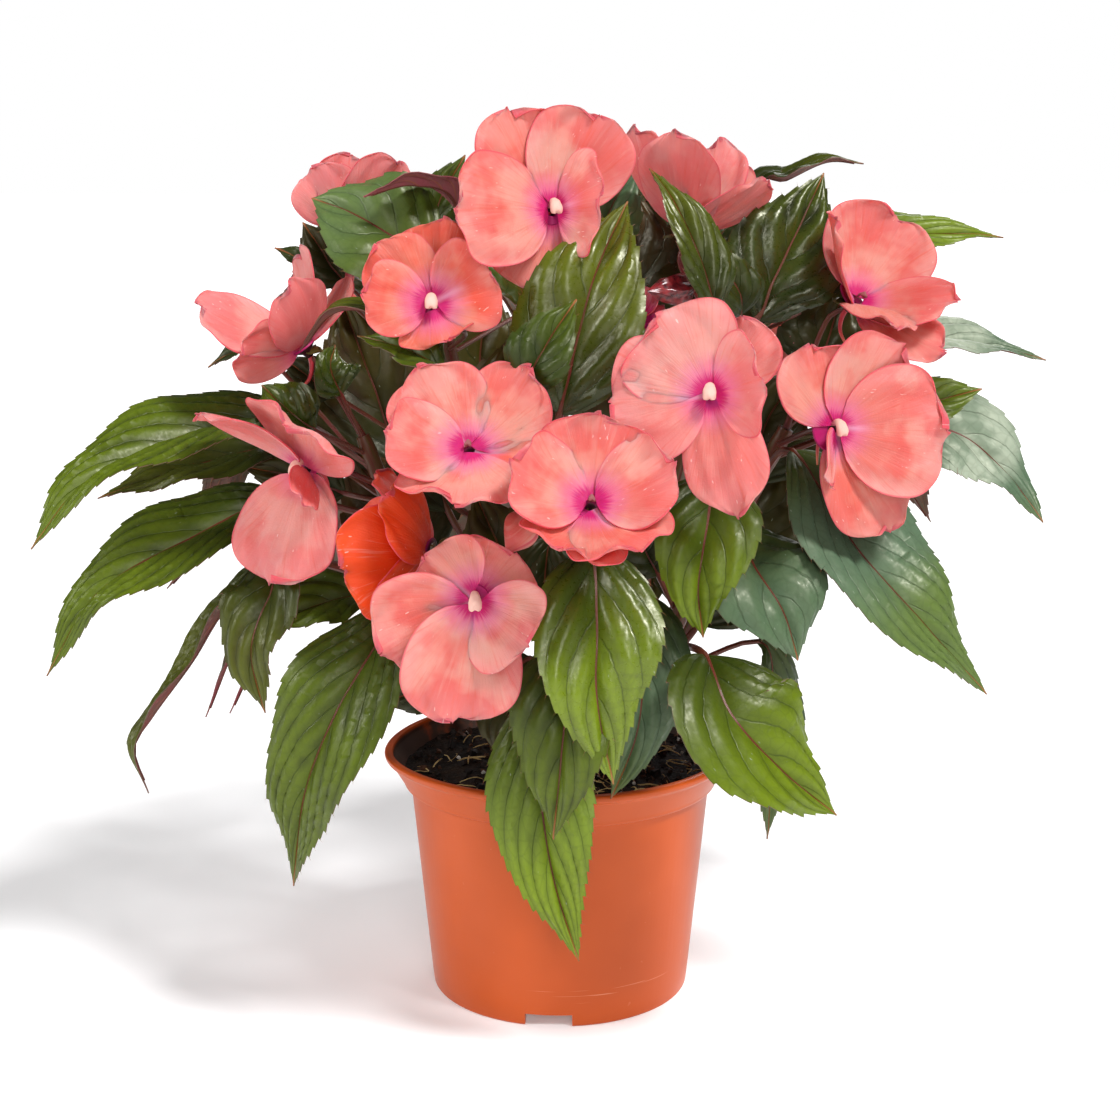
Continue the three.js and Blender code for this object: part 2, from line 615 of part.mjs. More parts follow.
// Five petals spread evenly round a throat, for a bloom that stands open.
function evenPetals(throatAt, frame, { size, lift, turn }) {
  return evenAngles.map((angle, i) => {
    const round = THREE.MathUtils.degToRad(angle + turn);
    const rise = THREE.MathUtils.degToRad(lift + i * evenFan);
    const tip = vector(throatAt)
      .addScaledVector(frame.right, size * Math.cos(rise) * Math.cos(round))
      .addScaledVector(frame.up, size * Math.cos(rise) * Math.sin(round))
      .addScaledVector(frame.out, size * Math.sin(rise));
    return [tip.toArray(), size * evenWidth, -1, 0];
  });
}

// Stands a shape that was made round its own Z axis at a place, with that axis along the frame's out.
function stood(geometry, frame, at) {
  geometry.applyMatrix4(new THREE.Matrix4().makeRotationX(Math.PI / 2));
  geometry.applyMatrix4(new THREE.Matrix4().makeBasis(frame.right, frame.up, frame.out).setPosition(at));
  return geometry;
}

// The throat: a small funnel that the petals grow from, closed at both ends.
function throat(at, frame) {
  const profile = [
    [0, -throatDepth], [throatRadius * throatTaper, -throatDepth], [throatRadius, throatTop], [0, throatTop],
  ];
  const funnel = new THREE.LatheGeometry(profile.map(([r, h]) => new THREE.Vector2(r, h)), throatSides);
  return solid(stood(funnel, frame, at));
}

function anthers(at, frame) {
  const along = (distance) => at.clone().addScaledVector(frame.out, distance);
  const start = throatTop + gap;
  return solid(rod([along(start), along(start + columnLength)], columnRadius, columnSides, 1));
}

function budBody({ foot, tip, width }) {
  const axis = vector(tip).sub(vector(foot));
  const length = axis.length();
  const profile = [];
  for (let i = 0; i <= budSteps; i += 1) {
    const share = i / budSteps;
    const radius = i === 0 || i === budSteps ? 0 : (width / 2) * Math.sin(Math.PI * share ** budWidest);
    profile.push(new THREE.Vector2(radius, length * share));
  }
  const frame = bloomFrame(axis.toArray());
  return solid(stood(new THREE.LatheGeometry(profile, stemSides), frame, vector(foot)));
}

// The stalk of a bloom or bud, which stops just short of what it carries.
function stalk(from, end, arrival) {
  const stop = end.clone().addScaledVector(arrival, -gap);
  const before = stop.clone().addScaledVector(arrival, -stalkRun);
  return solid(rod([from, before, stop], stalkRadius, stalkSides, stalkSteps));
}

function pot() {
  const inner = footRadius - footWidth;
  const bandBottom = potHeight - bandHeight;
  const outline = [
    [0, floorHeight], [inner, floorHeight], [inner, 0], [footRadius, 0],
    [bodyTopRadius, bandBottom], [bandBottomRadius, bandBottom],
    [bandTopRadius, potHeight - lipDrop], [rimRadius, potHeight - lipDrop + lipEdge],
    [rimRadius, potHeight - lipEdge], [rimRadius - lipEdge, potHeight], [bandTopRadius - wall, potHeight],
    [bandTopRadius - wall, potHeight - lipDrop], [bandBottomRadius - wall, bandBottom + wall],
    [bodyTopRadius - wall, bandBottom - wall],
    [inner, floorHeight + wall], [0, floorHeight + wall],
  ];
  let body = solid(turned(outline, potSides));
  for (const angle of notchAngles) {
    const notch = new THREE.BoxGeometry(2 * footWidth + notchOver, notchWidth, 2 * notchHeight);
    notch.translate(footRadius - footWidth / 2, 0, 0);
    notch.rotateZ(THREE.MathUtils.degToRad(angle));
    body = body.subtract(solid(notch));
  }
  for (let i = 0; i < drainCount; i += 1) {
    const drain = new THREE.CylinderGeometry(drainRadius, drainRadius, 3 * wall, stemSides);
    drain.rotateX(Math.PI / 2);
    drain.translate(drainRing, 0, floorHeight + wall / 2);
    drain.rotateZ((2 * Math.PI * (i + 0.5)) / drainCount);
    body = body.subtract(solid(drain));
  }
  return body;
}

// A shape turned round the Z axis from an outline of radius and height.
function turned(outline, sides) {
  const geometry = new THREE.LatheGeometry(outline.map(([r, z]) => new THREE.Vector2(r, z)), sides);
  return geometry.rotateX(Math.PI / 2);
}

// The soil: it fills the pot, has a crumbled top and a plain hole for each stem.
function soil() {
  const random = seededRandom(soilSeed);
  const bandBottom = potHeight - bandHeight;
  const rings = soilRings.map((radius) => ({ radius, height: soilLevel }));
  rings.push({ radius: soilRadius, height: soilLevel - soilEdgeDrop, even: true });
  rings.push({ radius: bodyTopRadius - wall - slopeGap, height: bandBottom - wall, even: true });
  rings.push({ radius: footRadius - footWidth - gap, height: floorHeight + wall + gap, even: true });
  const position = [0, 0, soilLevel];
  for (const { radius, height, even } of rings) {
    for (let i = 0; i < soilSides; i += 1) {
      const angle = (2 * Math.PI * i) / soilSides;
      const bump = even ? 0 : soilBump * (random() - 0.5) * 2;
      position.push(radius * Math.cos(angle), radius * Math.sin(angle), height + bump);
    }
  }
  position.push(0, 0, floorHeight + wall + gap);
  const index = [];
  const last = position.length / 3 - 1;
  for (let i = 0; i < soilSides; i += 1) {
    const next = (i + 1) % soilSides;
    index.push(0, 1 + i, 1 + next);
    for (let r = 0; r + 1 < rings.length; r += 1) {
      const [a, b] = [1 + r * soilSides + i, 1 + r * soilSides + next];
      index.push(a, a + soilSides, b + soilSides, a, b + soilSides, b);
    }
    const foot = 1 + (rings.length - 1) * soilSides;
    index.push(last, foot + next, foot + i);
  }
  const geometry = new THREE.BufferGeometry();
  geometry.setAttribute('position', new THREE.BufferAttribute(new Float32Array(position), 3));
  geometry.setIndex(index);
  let body = solid(geometry);
  for (const { stem } of shoots) {
    const [x, y] = stem[0];
    body = body.subtract(upright(x, y, crownTop - crownDepth - gap, crownTop, crownRadius + gap));
  }
  return body;
}

function seededRandom(seed) {
  let state = seed;
  return () => {
    state = (state * 1103515245 + 12345) % 2147483648;
    return state / 2147483648;
  };
}

// An upright straight bar between two heights.
function upright(x, y, bottom, top, radius) {
  const bar = new THREE.CylinderGeometry(radius, radius, top - bottom, stemSides);
  bar.rotateX(Math.PI / 2);
  bar.translate(x, y, (top + bottom) / 2);
  return solid(bar);
}

// A shoot: its crown, which stands in the soil, its stem, its leaves and the stalks of its blooms.
function shootBody(shoot) {
  const curve = curveThrough(shoot.stem.map(vector));
  const [x, y, z] = shoot.stem[0];
  const foot = new THREE.Vector3(x, y, z - stemSink);
  const pieces = [
    upright(x, y, crownTop - crownDepth, crownTop, crownRadius),
    solid(rod([foot, ...shoot.stem.slice(1).map(vector)], stemRadius, stemSides, stemSteps)),
  ];
  for (const blade of shoot.leaves) {
    pieces.push(leaf(curve.getPointAt(blade[0]), blade));
  }
  for (const bloom of blooms.filter((one) => one.shoot === shoot.name)) {
    const { out } = bloomFrame(bloom.face);
    const back = vector(bloom.throat).addScaledVector(out, -throatDepth);
    pieces.push(stalk(curve.getPointAt(bloom.from), back, out));
  }
  for (const bud of buds.filter((one) => one.shoot === shoot.name)) {
    const foot = vector(bud.foot);
    pieces.push(stalk(curve.getPointAt(bud.from), foot, vector(bud.tip).sub(foot).normalize()));
  }
  return joined(pieces);
}

addNode('pot', pot(), terracotta);
addNode('soil', soil(), peat);
for (const shoot of shoots) {
  addNode(shoot.name, shootBody(shoot), green);
}
for (const bloom of blooms) {
  const frame = bloomFrame(bloom.face);
  const at = vector(bloom.throat);
  const reach = ([tip]) => vector(tip).sub(at).dot(frame.out);
  const petals = (bloom.petals ?? evenPetals(bloom.throat, frame, bloom.open))
    .toSorted((a, b) => reach(a) - reach(b));
  const pieces = petals.map((one, layer) => (
    petal(petalRoot(at, frame, one[0], layer, petals.length), bloom.face, one)));
  addNode(bloom.name, joined([throat(at, frame), ...pieces]), salmon);
  addNode(bloom.name.replace('bloom', 'anthers'), anthers(at, frame), cream);
}
for (const bud of buds) {
  addNode(bud.name, budBody(bud), bud.finish === 'wine' ? wine : salmon);
}

export default group;
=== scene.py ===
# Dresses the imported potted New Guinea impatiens: a studio floor and lights, the pot, the potting soil,
# the leafy shoots and the blooms. The lists are in millimetres, in the same frame as the solids.

import math

import bpy
import numpy as np
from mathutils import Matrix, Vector, noise


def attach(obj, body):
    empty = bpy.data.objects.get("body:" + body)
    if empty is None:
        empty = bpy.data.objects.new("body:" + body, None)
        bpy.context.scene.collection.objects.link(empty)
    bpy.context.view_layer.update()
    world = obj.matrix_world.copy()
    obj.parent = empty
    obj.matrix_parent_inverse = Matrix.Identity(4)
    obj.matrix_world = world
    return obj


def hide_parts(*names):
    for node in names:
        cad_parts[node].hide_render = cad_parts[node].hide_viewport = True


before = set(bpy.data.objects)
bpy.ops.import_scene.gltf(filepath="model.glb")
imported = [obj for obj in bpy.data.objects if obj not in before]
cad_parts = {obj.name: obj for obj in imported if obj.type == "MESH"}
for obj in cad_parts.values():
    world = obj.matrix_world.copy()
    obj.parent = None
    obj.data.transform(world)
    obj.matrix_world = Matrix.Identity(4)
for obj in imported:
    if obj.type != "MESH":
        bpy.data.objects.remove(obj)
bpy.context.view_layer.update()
mm = 0.001
spanSteps = 40  # points on a smooth line from one given point to the next
sharpAngle = 50  # degrees between two faces from which their edge shows
print("frame:", len(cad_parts), "nodes")


# Shader nodes

def wire(tree, kind, inputs=None, **settings):
    node = tree.nodes.new("ShaderNode" + kind)
    for key, value in settings.items():
        setattr(node, key, value)
    for key, value in (inputs or {}).items():
        if isinstance(value, bpy.types.NodeSocket):
            tree.links.new(value, node.inputs[key])
        else:
            node.inputs[key].default_value = value
    return node


def calc(tree, operation, a, b=0.0, clamp=False):
    return wire(tree, "Math", {0: a, 1: b}, operation=operation, use_clamp=clamp).outputs[0]


def times(tree, a, b):
    return calc(tree, "MULTIPLY", a, b)


def plus(tree, a, b, clamp=False):
    return calc(tree, "ADD", a, b, clamp)


def minus(tree, a, b):
    return calc(tree, "SUBTRACT", a, b)


def absolute(tree, a):
    return calc(tree, "ABSOLUTE", a)


def mixed(tree, factor, a, b):
    return wire(tree, "Mix", {0: factor, 6: a, 7: b}, data_type="RGBA").outputs[2]


def between(tree, value, low, high, start=0.0, end=1.0):
    # start at low, end at high, with a soft change between them
    node = wire(tree, "MapRange", {0: value, 1: low, 2: high, 3: start, 4: end},
                interpolation_type="SMOOTHSTEP")
    return node.outputs[0]


def fading(tree, value, low, high, start=1.0):
    # the other way round: start at low, nothing at high
    return between(tree, value, low, high, start, 0.0)


def ramp(tree, grain, start, end):
    # over the middle part of a noise, which is where most of it lies
    return between(tree, grain, 0.3, 0.7, start, end)


def mapped(tree, name):
    # a UV map and its two numbers
    uv = wire(tree, "UVMap", uv_map=name).outputs[0]
    apart = wire(tree, "SeparateXYZ", {0: uv})
    return uv, apart.outputs[0], apart.outputs[1]


def place(tree):
    return wire(tree, "TexCoord").outputs["Object"]


def joined(tree, x, y, z=0.0):
    return wire(tree, "CombineXYZ", {0: x, 1: y, 2: z}).outputs[0]


def vectorLength(tree, vector):
    return wire(tree, "VectorMath", {0: vector}, operation="LENGTH").outputs["Value"]


def stretched(tree, coordinates, scale):
    return wire(tree, "Mapping", {0: coordinates, 3: scale}).outputs[0]


def cloudy(tree, coordinates, scale, detail=3.0, roughness=0.55):
    return wire(tree, "TexNoise", {"Vector": coordinates, "Scale": scale, "Detail": detail,
                                   "Roughness": roughness}).outputs[0]


def tinted(tree):
    # the numbers that each leaf or petal carries: red, green and blue part, and a random one
    own = wire(tree, "Attribute", attribute_name="tint")
    apart = wire(tree, "SeparateColor", {0: own.outputs["Color"]})
    return apart.outputs[0], apart.outputs[1], apart.outputs[2], own.outputs["Alpha"]


def ownPlace(tree, x, y, chance):
    # each leaf or petal has its own layer of the noise, so that no two look the same
    return joined(tree, x, y, times(tree, chance, 9.0))


def newFinish(name, **fixed):
    material = bpy.data.materials.new(name)
    material.use_nodes = True
    tree = material.node_tree
    shader = tree.nodes["Principled BSDF"]
    for key, value in fixed.items():
        shader.inputs[key.replace("_", " ")].default_value = value
    return material, tree, shader


def finishWith(tree, shader, colour, roughness, height=None, strength=0.3, distance=0.5):
    # the bump's distance is in millimetres
    tree.links.new(colour, shader.inputs["Base Color"])
    tree.links.new(roughness, shader.inputs["Roughness"])
    if height is not None:
        bump = wire(tree, "Bump", {"Height": height, "Strength": strength, "Distance": distance * mm})
        tree.links.new(bump.outputs[0], shader.inputs["Normal"])


# Meshes

boxFaces = [(0, 1, 3, 2), (4, 6, 7, 5), (0, 4, 5, 1), (2, 3, 7, 6), (0, 2, 6, 4), (1, 5, 7, 3)]


def unit(vectors):
    return vectors / np.maximum(np.linalg.norm(vectors, axis=-1, keepdims=True), 1e-9)


def around(sides):
    return np.arange(sides) * 2 * math.pi / sides


def uvGrid(a, b):
    # two numbers for each point, spread over the same grid
    return np.stack(np.broadcast_arrays(a, b), -1)


def runOf(line):
    # the length from a line's start to each of its points
    return np.concatenate([[0], np.cumsum(np.linalg.norm(np.diff(line, axis=0), axis=1))])


def smoothLine(points):
    # a smooth line through the points, and its running length
    p = np.array(points, float)
    ends = np.vstack([2 * p[0] - p[1], p, 2 * p[-1] - p[-2]])
    t = np.linspace(0, 1, spanSteps, endpoint=False)[:, None]
    spans = []
    for a, b, c, d in zip(ends, ends[1:], ends[2:], ends[3:]):
        spans.append((2 * t**3 - 3 * t**2 + 1) * b + (t**3 - 2 * t**2 + t) * (c - a) / 2
                     + (3 * t**2 - 2 * t**3) * c + (t**3 - t**2) * (d - b) / 2)
    line = np.vstack(spans + [p[-1:]])
    return line, runOf(line)


def along(line, lengths, shares):
    # points at these shares of the line's length
    wanted = np.atleast_1d(shares) * lengths[-1]
    return np.stack([np.interp(wanted, lengths, line[:, k]) for k in range(3)], axis=1)


def part(points, faces, finish, blade, veins, tint):
    # one body of a piece; faces is a list of index arrays, finish one number for each of them
    return {"points": points, "faces": faces, "finish": finish, "blade": blade.reshape(-1, 2),
            "veins": veins.reshape(-1, 2), "tint": np.tile(np.array(tint, float), (len(points), 1))}


def ringFaces(rings, sides, inward=False):
    # the wall over rings of points, and the two faces that close it
    index = np.arange(rings * sides).reshape(rings, sides)
    ahead = np.roll(index, -1, axis=1)
    walls = np.stack([index[:-1], ahead[:-1], ahead[1:], index[1:]], -1).reshape(-1, 4)
    caps = [index[0][::-1][None, :], index[-1][None, :]]
    if inward:
        return [walls[:, [0, 3, 2, 1]]] + [cap[:, ::-1] for cap in caps]
    return [walls] + caps


def thinBlade(rows, thick, blade, veins, tint, finish=(0, 1)):
    # a closed blade from a grid of points on its middle surface, with its upper and its under finish
    count, across = rows.shape[:2]
    normal = unit(np.cross(np.gradient(rows, axis=1), np.gradient(rows, axis=0)))
    half = np.broadcast_to(thick, (count, across))[..., None] / 2
    points = np.concatenate([(rows + side * half * normal).reshape(-1, 3) for side in (1, -1)])
    under = count * across
    index = np.arange(under).reshape(count, across)
    quads = np.stack([index[:-1, :-1], index[:-1, 1:], index[1:, 1:], index[1:, :-1]], -1).reshape(-1, 4)
    rim = np.concatenate([index[0, :-1], index[:-1, -1], index[-1, :0:-1], index[:0:-1, 0]])
    ahead = np.roll(rim, -1)
    walls = np.stack([rim, rim + under, ahead + under, ahead], -1)
    faces = [quads, quads[:, ::-1] + under, walls]
    both = [np.concatenate([grid.reshape(-1, 2)] * 2) for grid in (blade, veins)]
    return part(points, faces, [finish[0], finish[1], finish[1]], *both, tint)


def tube(line, radius, sides, finish, tint, flatten=1.0):
    # a closed tube along a line, with its own radius at each point
    line = np.array(line, float)
    radius = np.broadcast_to(radius, (len(line),))
    tangent = unit(np.gradient(line, axis=0))
    isSteep = abs(tangent[0][2]) >= 0.9
    side = np.cross(tangent[0], [1.0, 0.2, 0.1] if isSteep else [0.3, 0.2, 1.0])
    angles = around(sides)
    rings = []
    for at, ahead, r in zip(line, tangent, radius):
        side = unit(side - ahead * side.dot(ahead))
        other = np.cross(ahead, side)
        rings.append(at + r * (np.cos(angles)[:, None] * side + flatten * np.sin(angles)[:, None] * other))
    run = runOf(line)[:, None]
    return part(np.concatenate(rings), ringFaces(len(line), sides), [finish] * 3,
                uvGrid(angles / 6, run / 100), uvGrid(angles / 6, run / max(run[-1, 0], 1)), tint)


def turnedBody(profile, sides, finish, tint):
    # a body turned round Z from (radius, height) points, whose ends lie near the axis
    profile = np.array(profile, float)
    angles = around(sides)
    radius, height = profile[:, :1], profile[:, 1:]
    points = np.stack(np.broadcast_arrays(radius * np.cos(angles), radius * np.sin(angles), height), -1)
    blade = uvGrid(angles * radius.max() / 100, height / 100)
    return part(points.reshape(-1, 3), ringFaces(len(profile), sides), [finish] * 3, blade, blade, tint)


def moved(body, origin, axes):
    # stands a body that was made round Z at a place, with X, Y and Z along the axes
    return {**body, "points": body["points"] @ np.stack(axes) + np.array(origin, float)}


def newPiece(name, parts, finishes, node):
    # one mesh from its parts, which stands for a node and rides on the body
    faces, which, start = [], [], 0
    for body in parts:
        for group, finish in zip(body["faces"], body["finish"]):
            faces.extend((group + start).tolist())
            which.extend([finish] * len(group))
        start += len(body["points"])
    points = np.concatenate([body["points"] for body in parts]) * mm
    mesh = bpy.data.meshes.new(name)
    mesh.from_pydata(points.tolist(), [], faces)
    for material in finishes:
        mesh.materials.append(material)
    mesh.polygons.foreach_set("material_index", np.array(which, np.int32))
    mesh.polygons.foreach_set("use_smooth", np.ones(len(faces), bool))
    corner = np.empty(len(mesh.loops), np.int32)
    mesh.loops.foreach_get("vertex_index", corner)
    for key in ("blade", "veins"):
        values = np.concatenate([body[key] for body in parts])
        mesh.uv_layers.new(name=key).data.foreach_set("uv", values[corner].ravel())
    tints = mesh.color_attributes.new("tint", "FLOAT_COLOR", "POINT")
    tints.data.foreach_set("color", np.concatenate([body["tint"] for body in parts]).ravel())
    mesh.set_sharp_from_angle(angle=math.radians(sharpAngle))
    mesh.update()
    piece = bpy.data.objects.new(name, mesh)
    bpy.context.scene.collection.objects.link(piece)
    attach(piece, "root")
    if node:
        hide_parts(node)
    return piece


# Finishes. Colours are linear red, green, blue and alpha; the noises' scales are per metre, or per 100 mm
# of a leaf or petal.

leafColours = {
    "deep": (0.009, 0.017, 0.002, 1), "green": (0.058, 0.088, 0.004, 1),
    # the bluish sheen and the silver sheen are painted reflections of the bright studio
    "fresh": (0.152, 0.216, 0.007, 1), "bluishSheen": (0.085, 0.140, 0.082, 1),
    "silverSheen": (0.360, 0.410, 0.310, 1), "wine": (0.055, 0.006, 0.006, 1),
    "midrib": (0.300, 0.095, 0.035, 1), "vein": (0.008, 0.020, 0.002, 1), "down": (0.36, 0.42, 0.33, 1),
    "under": (0.105, 0.105, 0.058, 1), "flush": (0.260, 0.055, 0.070, 1),
}
leafLook = {
    "cloudScale": 9.0, "grainScale": 90.0, "waverScale": 22.0, "netScale": 34.0, "downScale": 60.0,
    "veinWaver": 0.16, "veinReach": 0.06, "midrib": (0.0018, 0.0048), "creaseReach": 0.13,
    "bulgeHighlightShare": 0.7, "wineShare": 0.9, "veinShare": 0.45, "footShadeShare": 0.85, "creaseShare": 0.12,
    "rimShare": 0.35, "midribShare": 0.85, "downShare": 0.45, "flushShare": 0.8, "underVeinShare": 0.6,
}


def leafUpper(name, specular, smoothest, roughest):
    look, tone = leafLook, leafColours
    material, tree, shader = newFinish(name, Specular_IOR_Level=specular,
                                       Specular_Tint=(1.0, 0.98, 0.8, 1))
    x, y = mapped(tree, "blade")[1:]
    q, t = mapped(tree, "veins")[1:]
    fresh, bluishSheen, wine, chance = tinted(tree)
    own = ownPlace(tree, x, y, chance)
    cloud = cloudy(tree, own, look["cloudScale"])
    grain = cloudy(tree, own, look["grainScale"], 1.0)
    waver = times(tree, minus(tree, cloudy(tree, own, look["waverScale"], 1.0), 0.5), look["veinWaver"])
    # q grows by one from side vein to side vein, t runs from the midrib to the edge
    away = calc(tree, "PINGPONG", plus(tree, q, waver), 0.5)
    inside = times(tree, between(tree, t, 0.0, 0.1), fading(tree, t, 0.82, 1.0))
    vein = times(tree, fading(tree, away, 0.0, look["veinReach"]), inside)
    midrib = times(tree, fading(tree, absolute(tree, x), *look["midrib"]), look["midribShare"])
    # painted highlight: the blade is made lighter on the quilted crests between the side veins, where light
    # would catch them
    bulge = between(tree, away, look["veinReach"], 0.45)
    colour = mixed(tree, between(tree, cloud, 0.30, 0.68), tone["deep"], tone["green"])
    colour = mixed(tree, times(tree, bulge, look["bulgeHighlightShare"]), colour, tone["green"])
    freshAndLitBulge = times(tree, fresh, plus(tree, times(tree, bulge, 0.25), 0.75))
    colour = mixed(tree, freshAndLitBulge, colour, tone["fresh"])
    # painted sheen: a bluish painted reflection of the bright studio lies on the blade's middle stretch and
    # turns into a silvery painted highlight where it is strong
    band = times(tree, between(tree, y, 0.05, 0.3, 0.4, 1.0), between(tree, y, 0.42, 0.7, 1.0, 0.45))
    bluishSheen = times(tree, bluishSheen, band)
    colour = mixed(tree, between(tree, bluishSheen, 0.0, 0.75), colour, tone["bluishSheen"])
    sheen = times(tree, between(tree, bluishSheen, 0.75, 1.0), between(tree, cloud, 0.35, 0.6, 0.35, 0.9))
    colour = mixed(tree, sheen, colour, tone["silverSheen"])
    colour = mixed(tree, times(tree, wine, look["wineShare"]), colour, tone["wine"])
    # the side veins' own dark green, deepened by painted shade in their sunken grooves
    colour = mixed(tree, times(tree, vein, look["veinShare"]), colour, tone["vein"])
    # painted shade: the blade darkens towards its foot, deep in the crown, less so under the painted sheen
    foot = times(tree, fading(tree, y, 0.03, 0.5, look["footShadeShare"]), minus(tree, 1.0, bluishSheen))
    colour = mixed(tree, foot, colour, tone["deep"])
    net = wire(tree, "TexVoronoi", {"Vector": stretched(tree, own, (1.0, 0.7, 1.0)),
                                    "Scale": look["netScale"]}, feature="DISTANCE_TO_EDGE")
    crease = fading(tree, net.outputs["Distance"], 0.0, look["creaseReach"])
    colour = mixed(tree, times(tree, crease, look["creaseShare"]), colour, tone["vein"])
    colour = mixed(tree, times(tree, between(tree, t, 0.985, 1.0), look["rimShare"]), colour, tone["wine"])
    colour = mixed(tree, midrib, colour, tone["midrib"])
    # short pale hairs in patches
    hair = wire(tree, "TexVoronoi", {"Vector": stretched(tree, own, (1.0, 0.35, 1.0)),
                                     "Scale": look["downScale"]})
    down = times(tree, fading(tree, hair.outputs["Distance"], 0.05, 0.13),
                 between(tree, cloudy(tree, own, look["downScale"] / 2), 0.5, 0.62))
    colour = mixed(tree, times(tree, down, look["downShare"]), colour, tone["down"])
    low = plus(tree, times(tree, vein, -0.8), times(tree, grain, 0.2))
    finishWith(tree, shader, colour, ramp(tree, grain, smoothest, roughest), minus(tree, low, midrib),
               0.5, 0.35)
    return material


def leafUnder():
    look, tone = leafLook, leafColours
    material, tree, shader = newFinish("leafUnder", Specular_IOR_Level=0.3)
    blade = mapped(tree, "blade")[0]
    q, t = mapped(tree, "veins")[1:]
    wine = tinted(tree)[2]
    cloud = cloudy(tree, blade, 10.0)
    away = calc(tree, "PINGPONG", q, 0.5)
    vein = times(tree, fading(tree, away, 0.02, 0.09), between(tree, t, 1.0, 0.8))
    flush = plus(tree, times(tree, wine, look["flushShare"]), between(tree, cloud, 0.4, 0.75, 0.1, 0.6), True)
    colour = mixed(tree, flush, tone["under"], tone["flush"])
    colour = mixed(tree, times(tree, vein, look["underVeinShare"]), colour, tone["midrib"])
    finishWith(tree, shader, colour, ramp(tree, cloud, 0.42, 0.55),
               plus(tree, vein, cloudy(tree, blade, 80.0)), 0.4, 0.3)
    return material


stalkLook = {"red": (0.130, 0.008, 0.011, 1), "green": (0.050, 0.075, 0.014, 1),
             "cloudScale": 22.0, "grainScale": 120.0}


def stalkSkin():
    # the tint's red part makes a stalk redder
    material, tree, shader = newFinish("stalkSkin", Specular_IOR_Level=0.35)
    blade = mapped(tree, "blade")[0]
    cloud = cloudy(tree, stretched(tree, blade, (1.0, 0.3, 1.0)), stalkLook["cloudScale"])
    share = plus(tree, tinted(tree)[0], ramp(tree, cloud, -0.25, 0.25), True)
    colour = mixed(tree, share, stalkLook["green"], stalkLook["red"])
    fibre = cloudy(tree, stretched(tree, blade, (1.0, 0.1, 1.0)), stalkLook["grainScale"])
    finishWith(tree, shader, colour, ramp(tree, cloud, 0.28, 0.42), fibre, 0.25, 0.2)
    return material


petalColours = {
    "pale": (0.635, 0.300, 0.240, 1), "salmon": (0.580, 0.088, 0.072, 1), "deep": (0.640, 0.052, 0.006, 1),
    "pink": (0.580, 0.060, 0.090, 1), "magenta": (0.500, 0.004, 0.125, 1), "haze": (0.640, 0.105, 0.260, 1),
    "cool": (0.700, 0.255, 0.265, 1), "streak": (0.720, 0.400, 0.520, 1), "scratchAndGlint": (0.820, 0.640, 0.600, 1),
}
petalLook = {
    "cloudScale": 6.0, "rayScale": 1.6, "rays": 16.0, "speckScale": 130.0, "cellScale": 160.0,
    "eyeAt": 0.018, "hazeReach": (0.045, 0.140, 0.8), "haloReach": (0.042, 0.074, 0.95),
    "pinkShare": 0.8, "edgeShare": 0.8, "rayShare": 0.3, "speckShare": 0.45, "glow": 0.5, "glowDepth": 2.5,
}


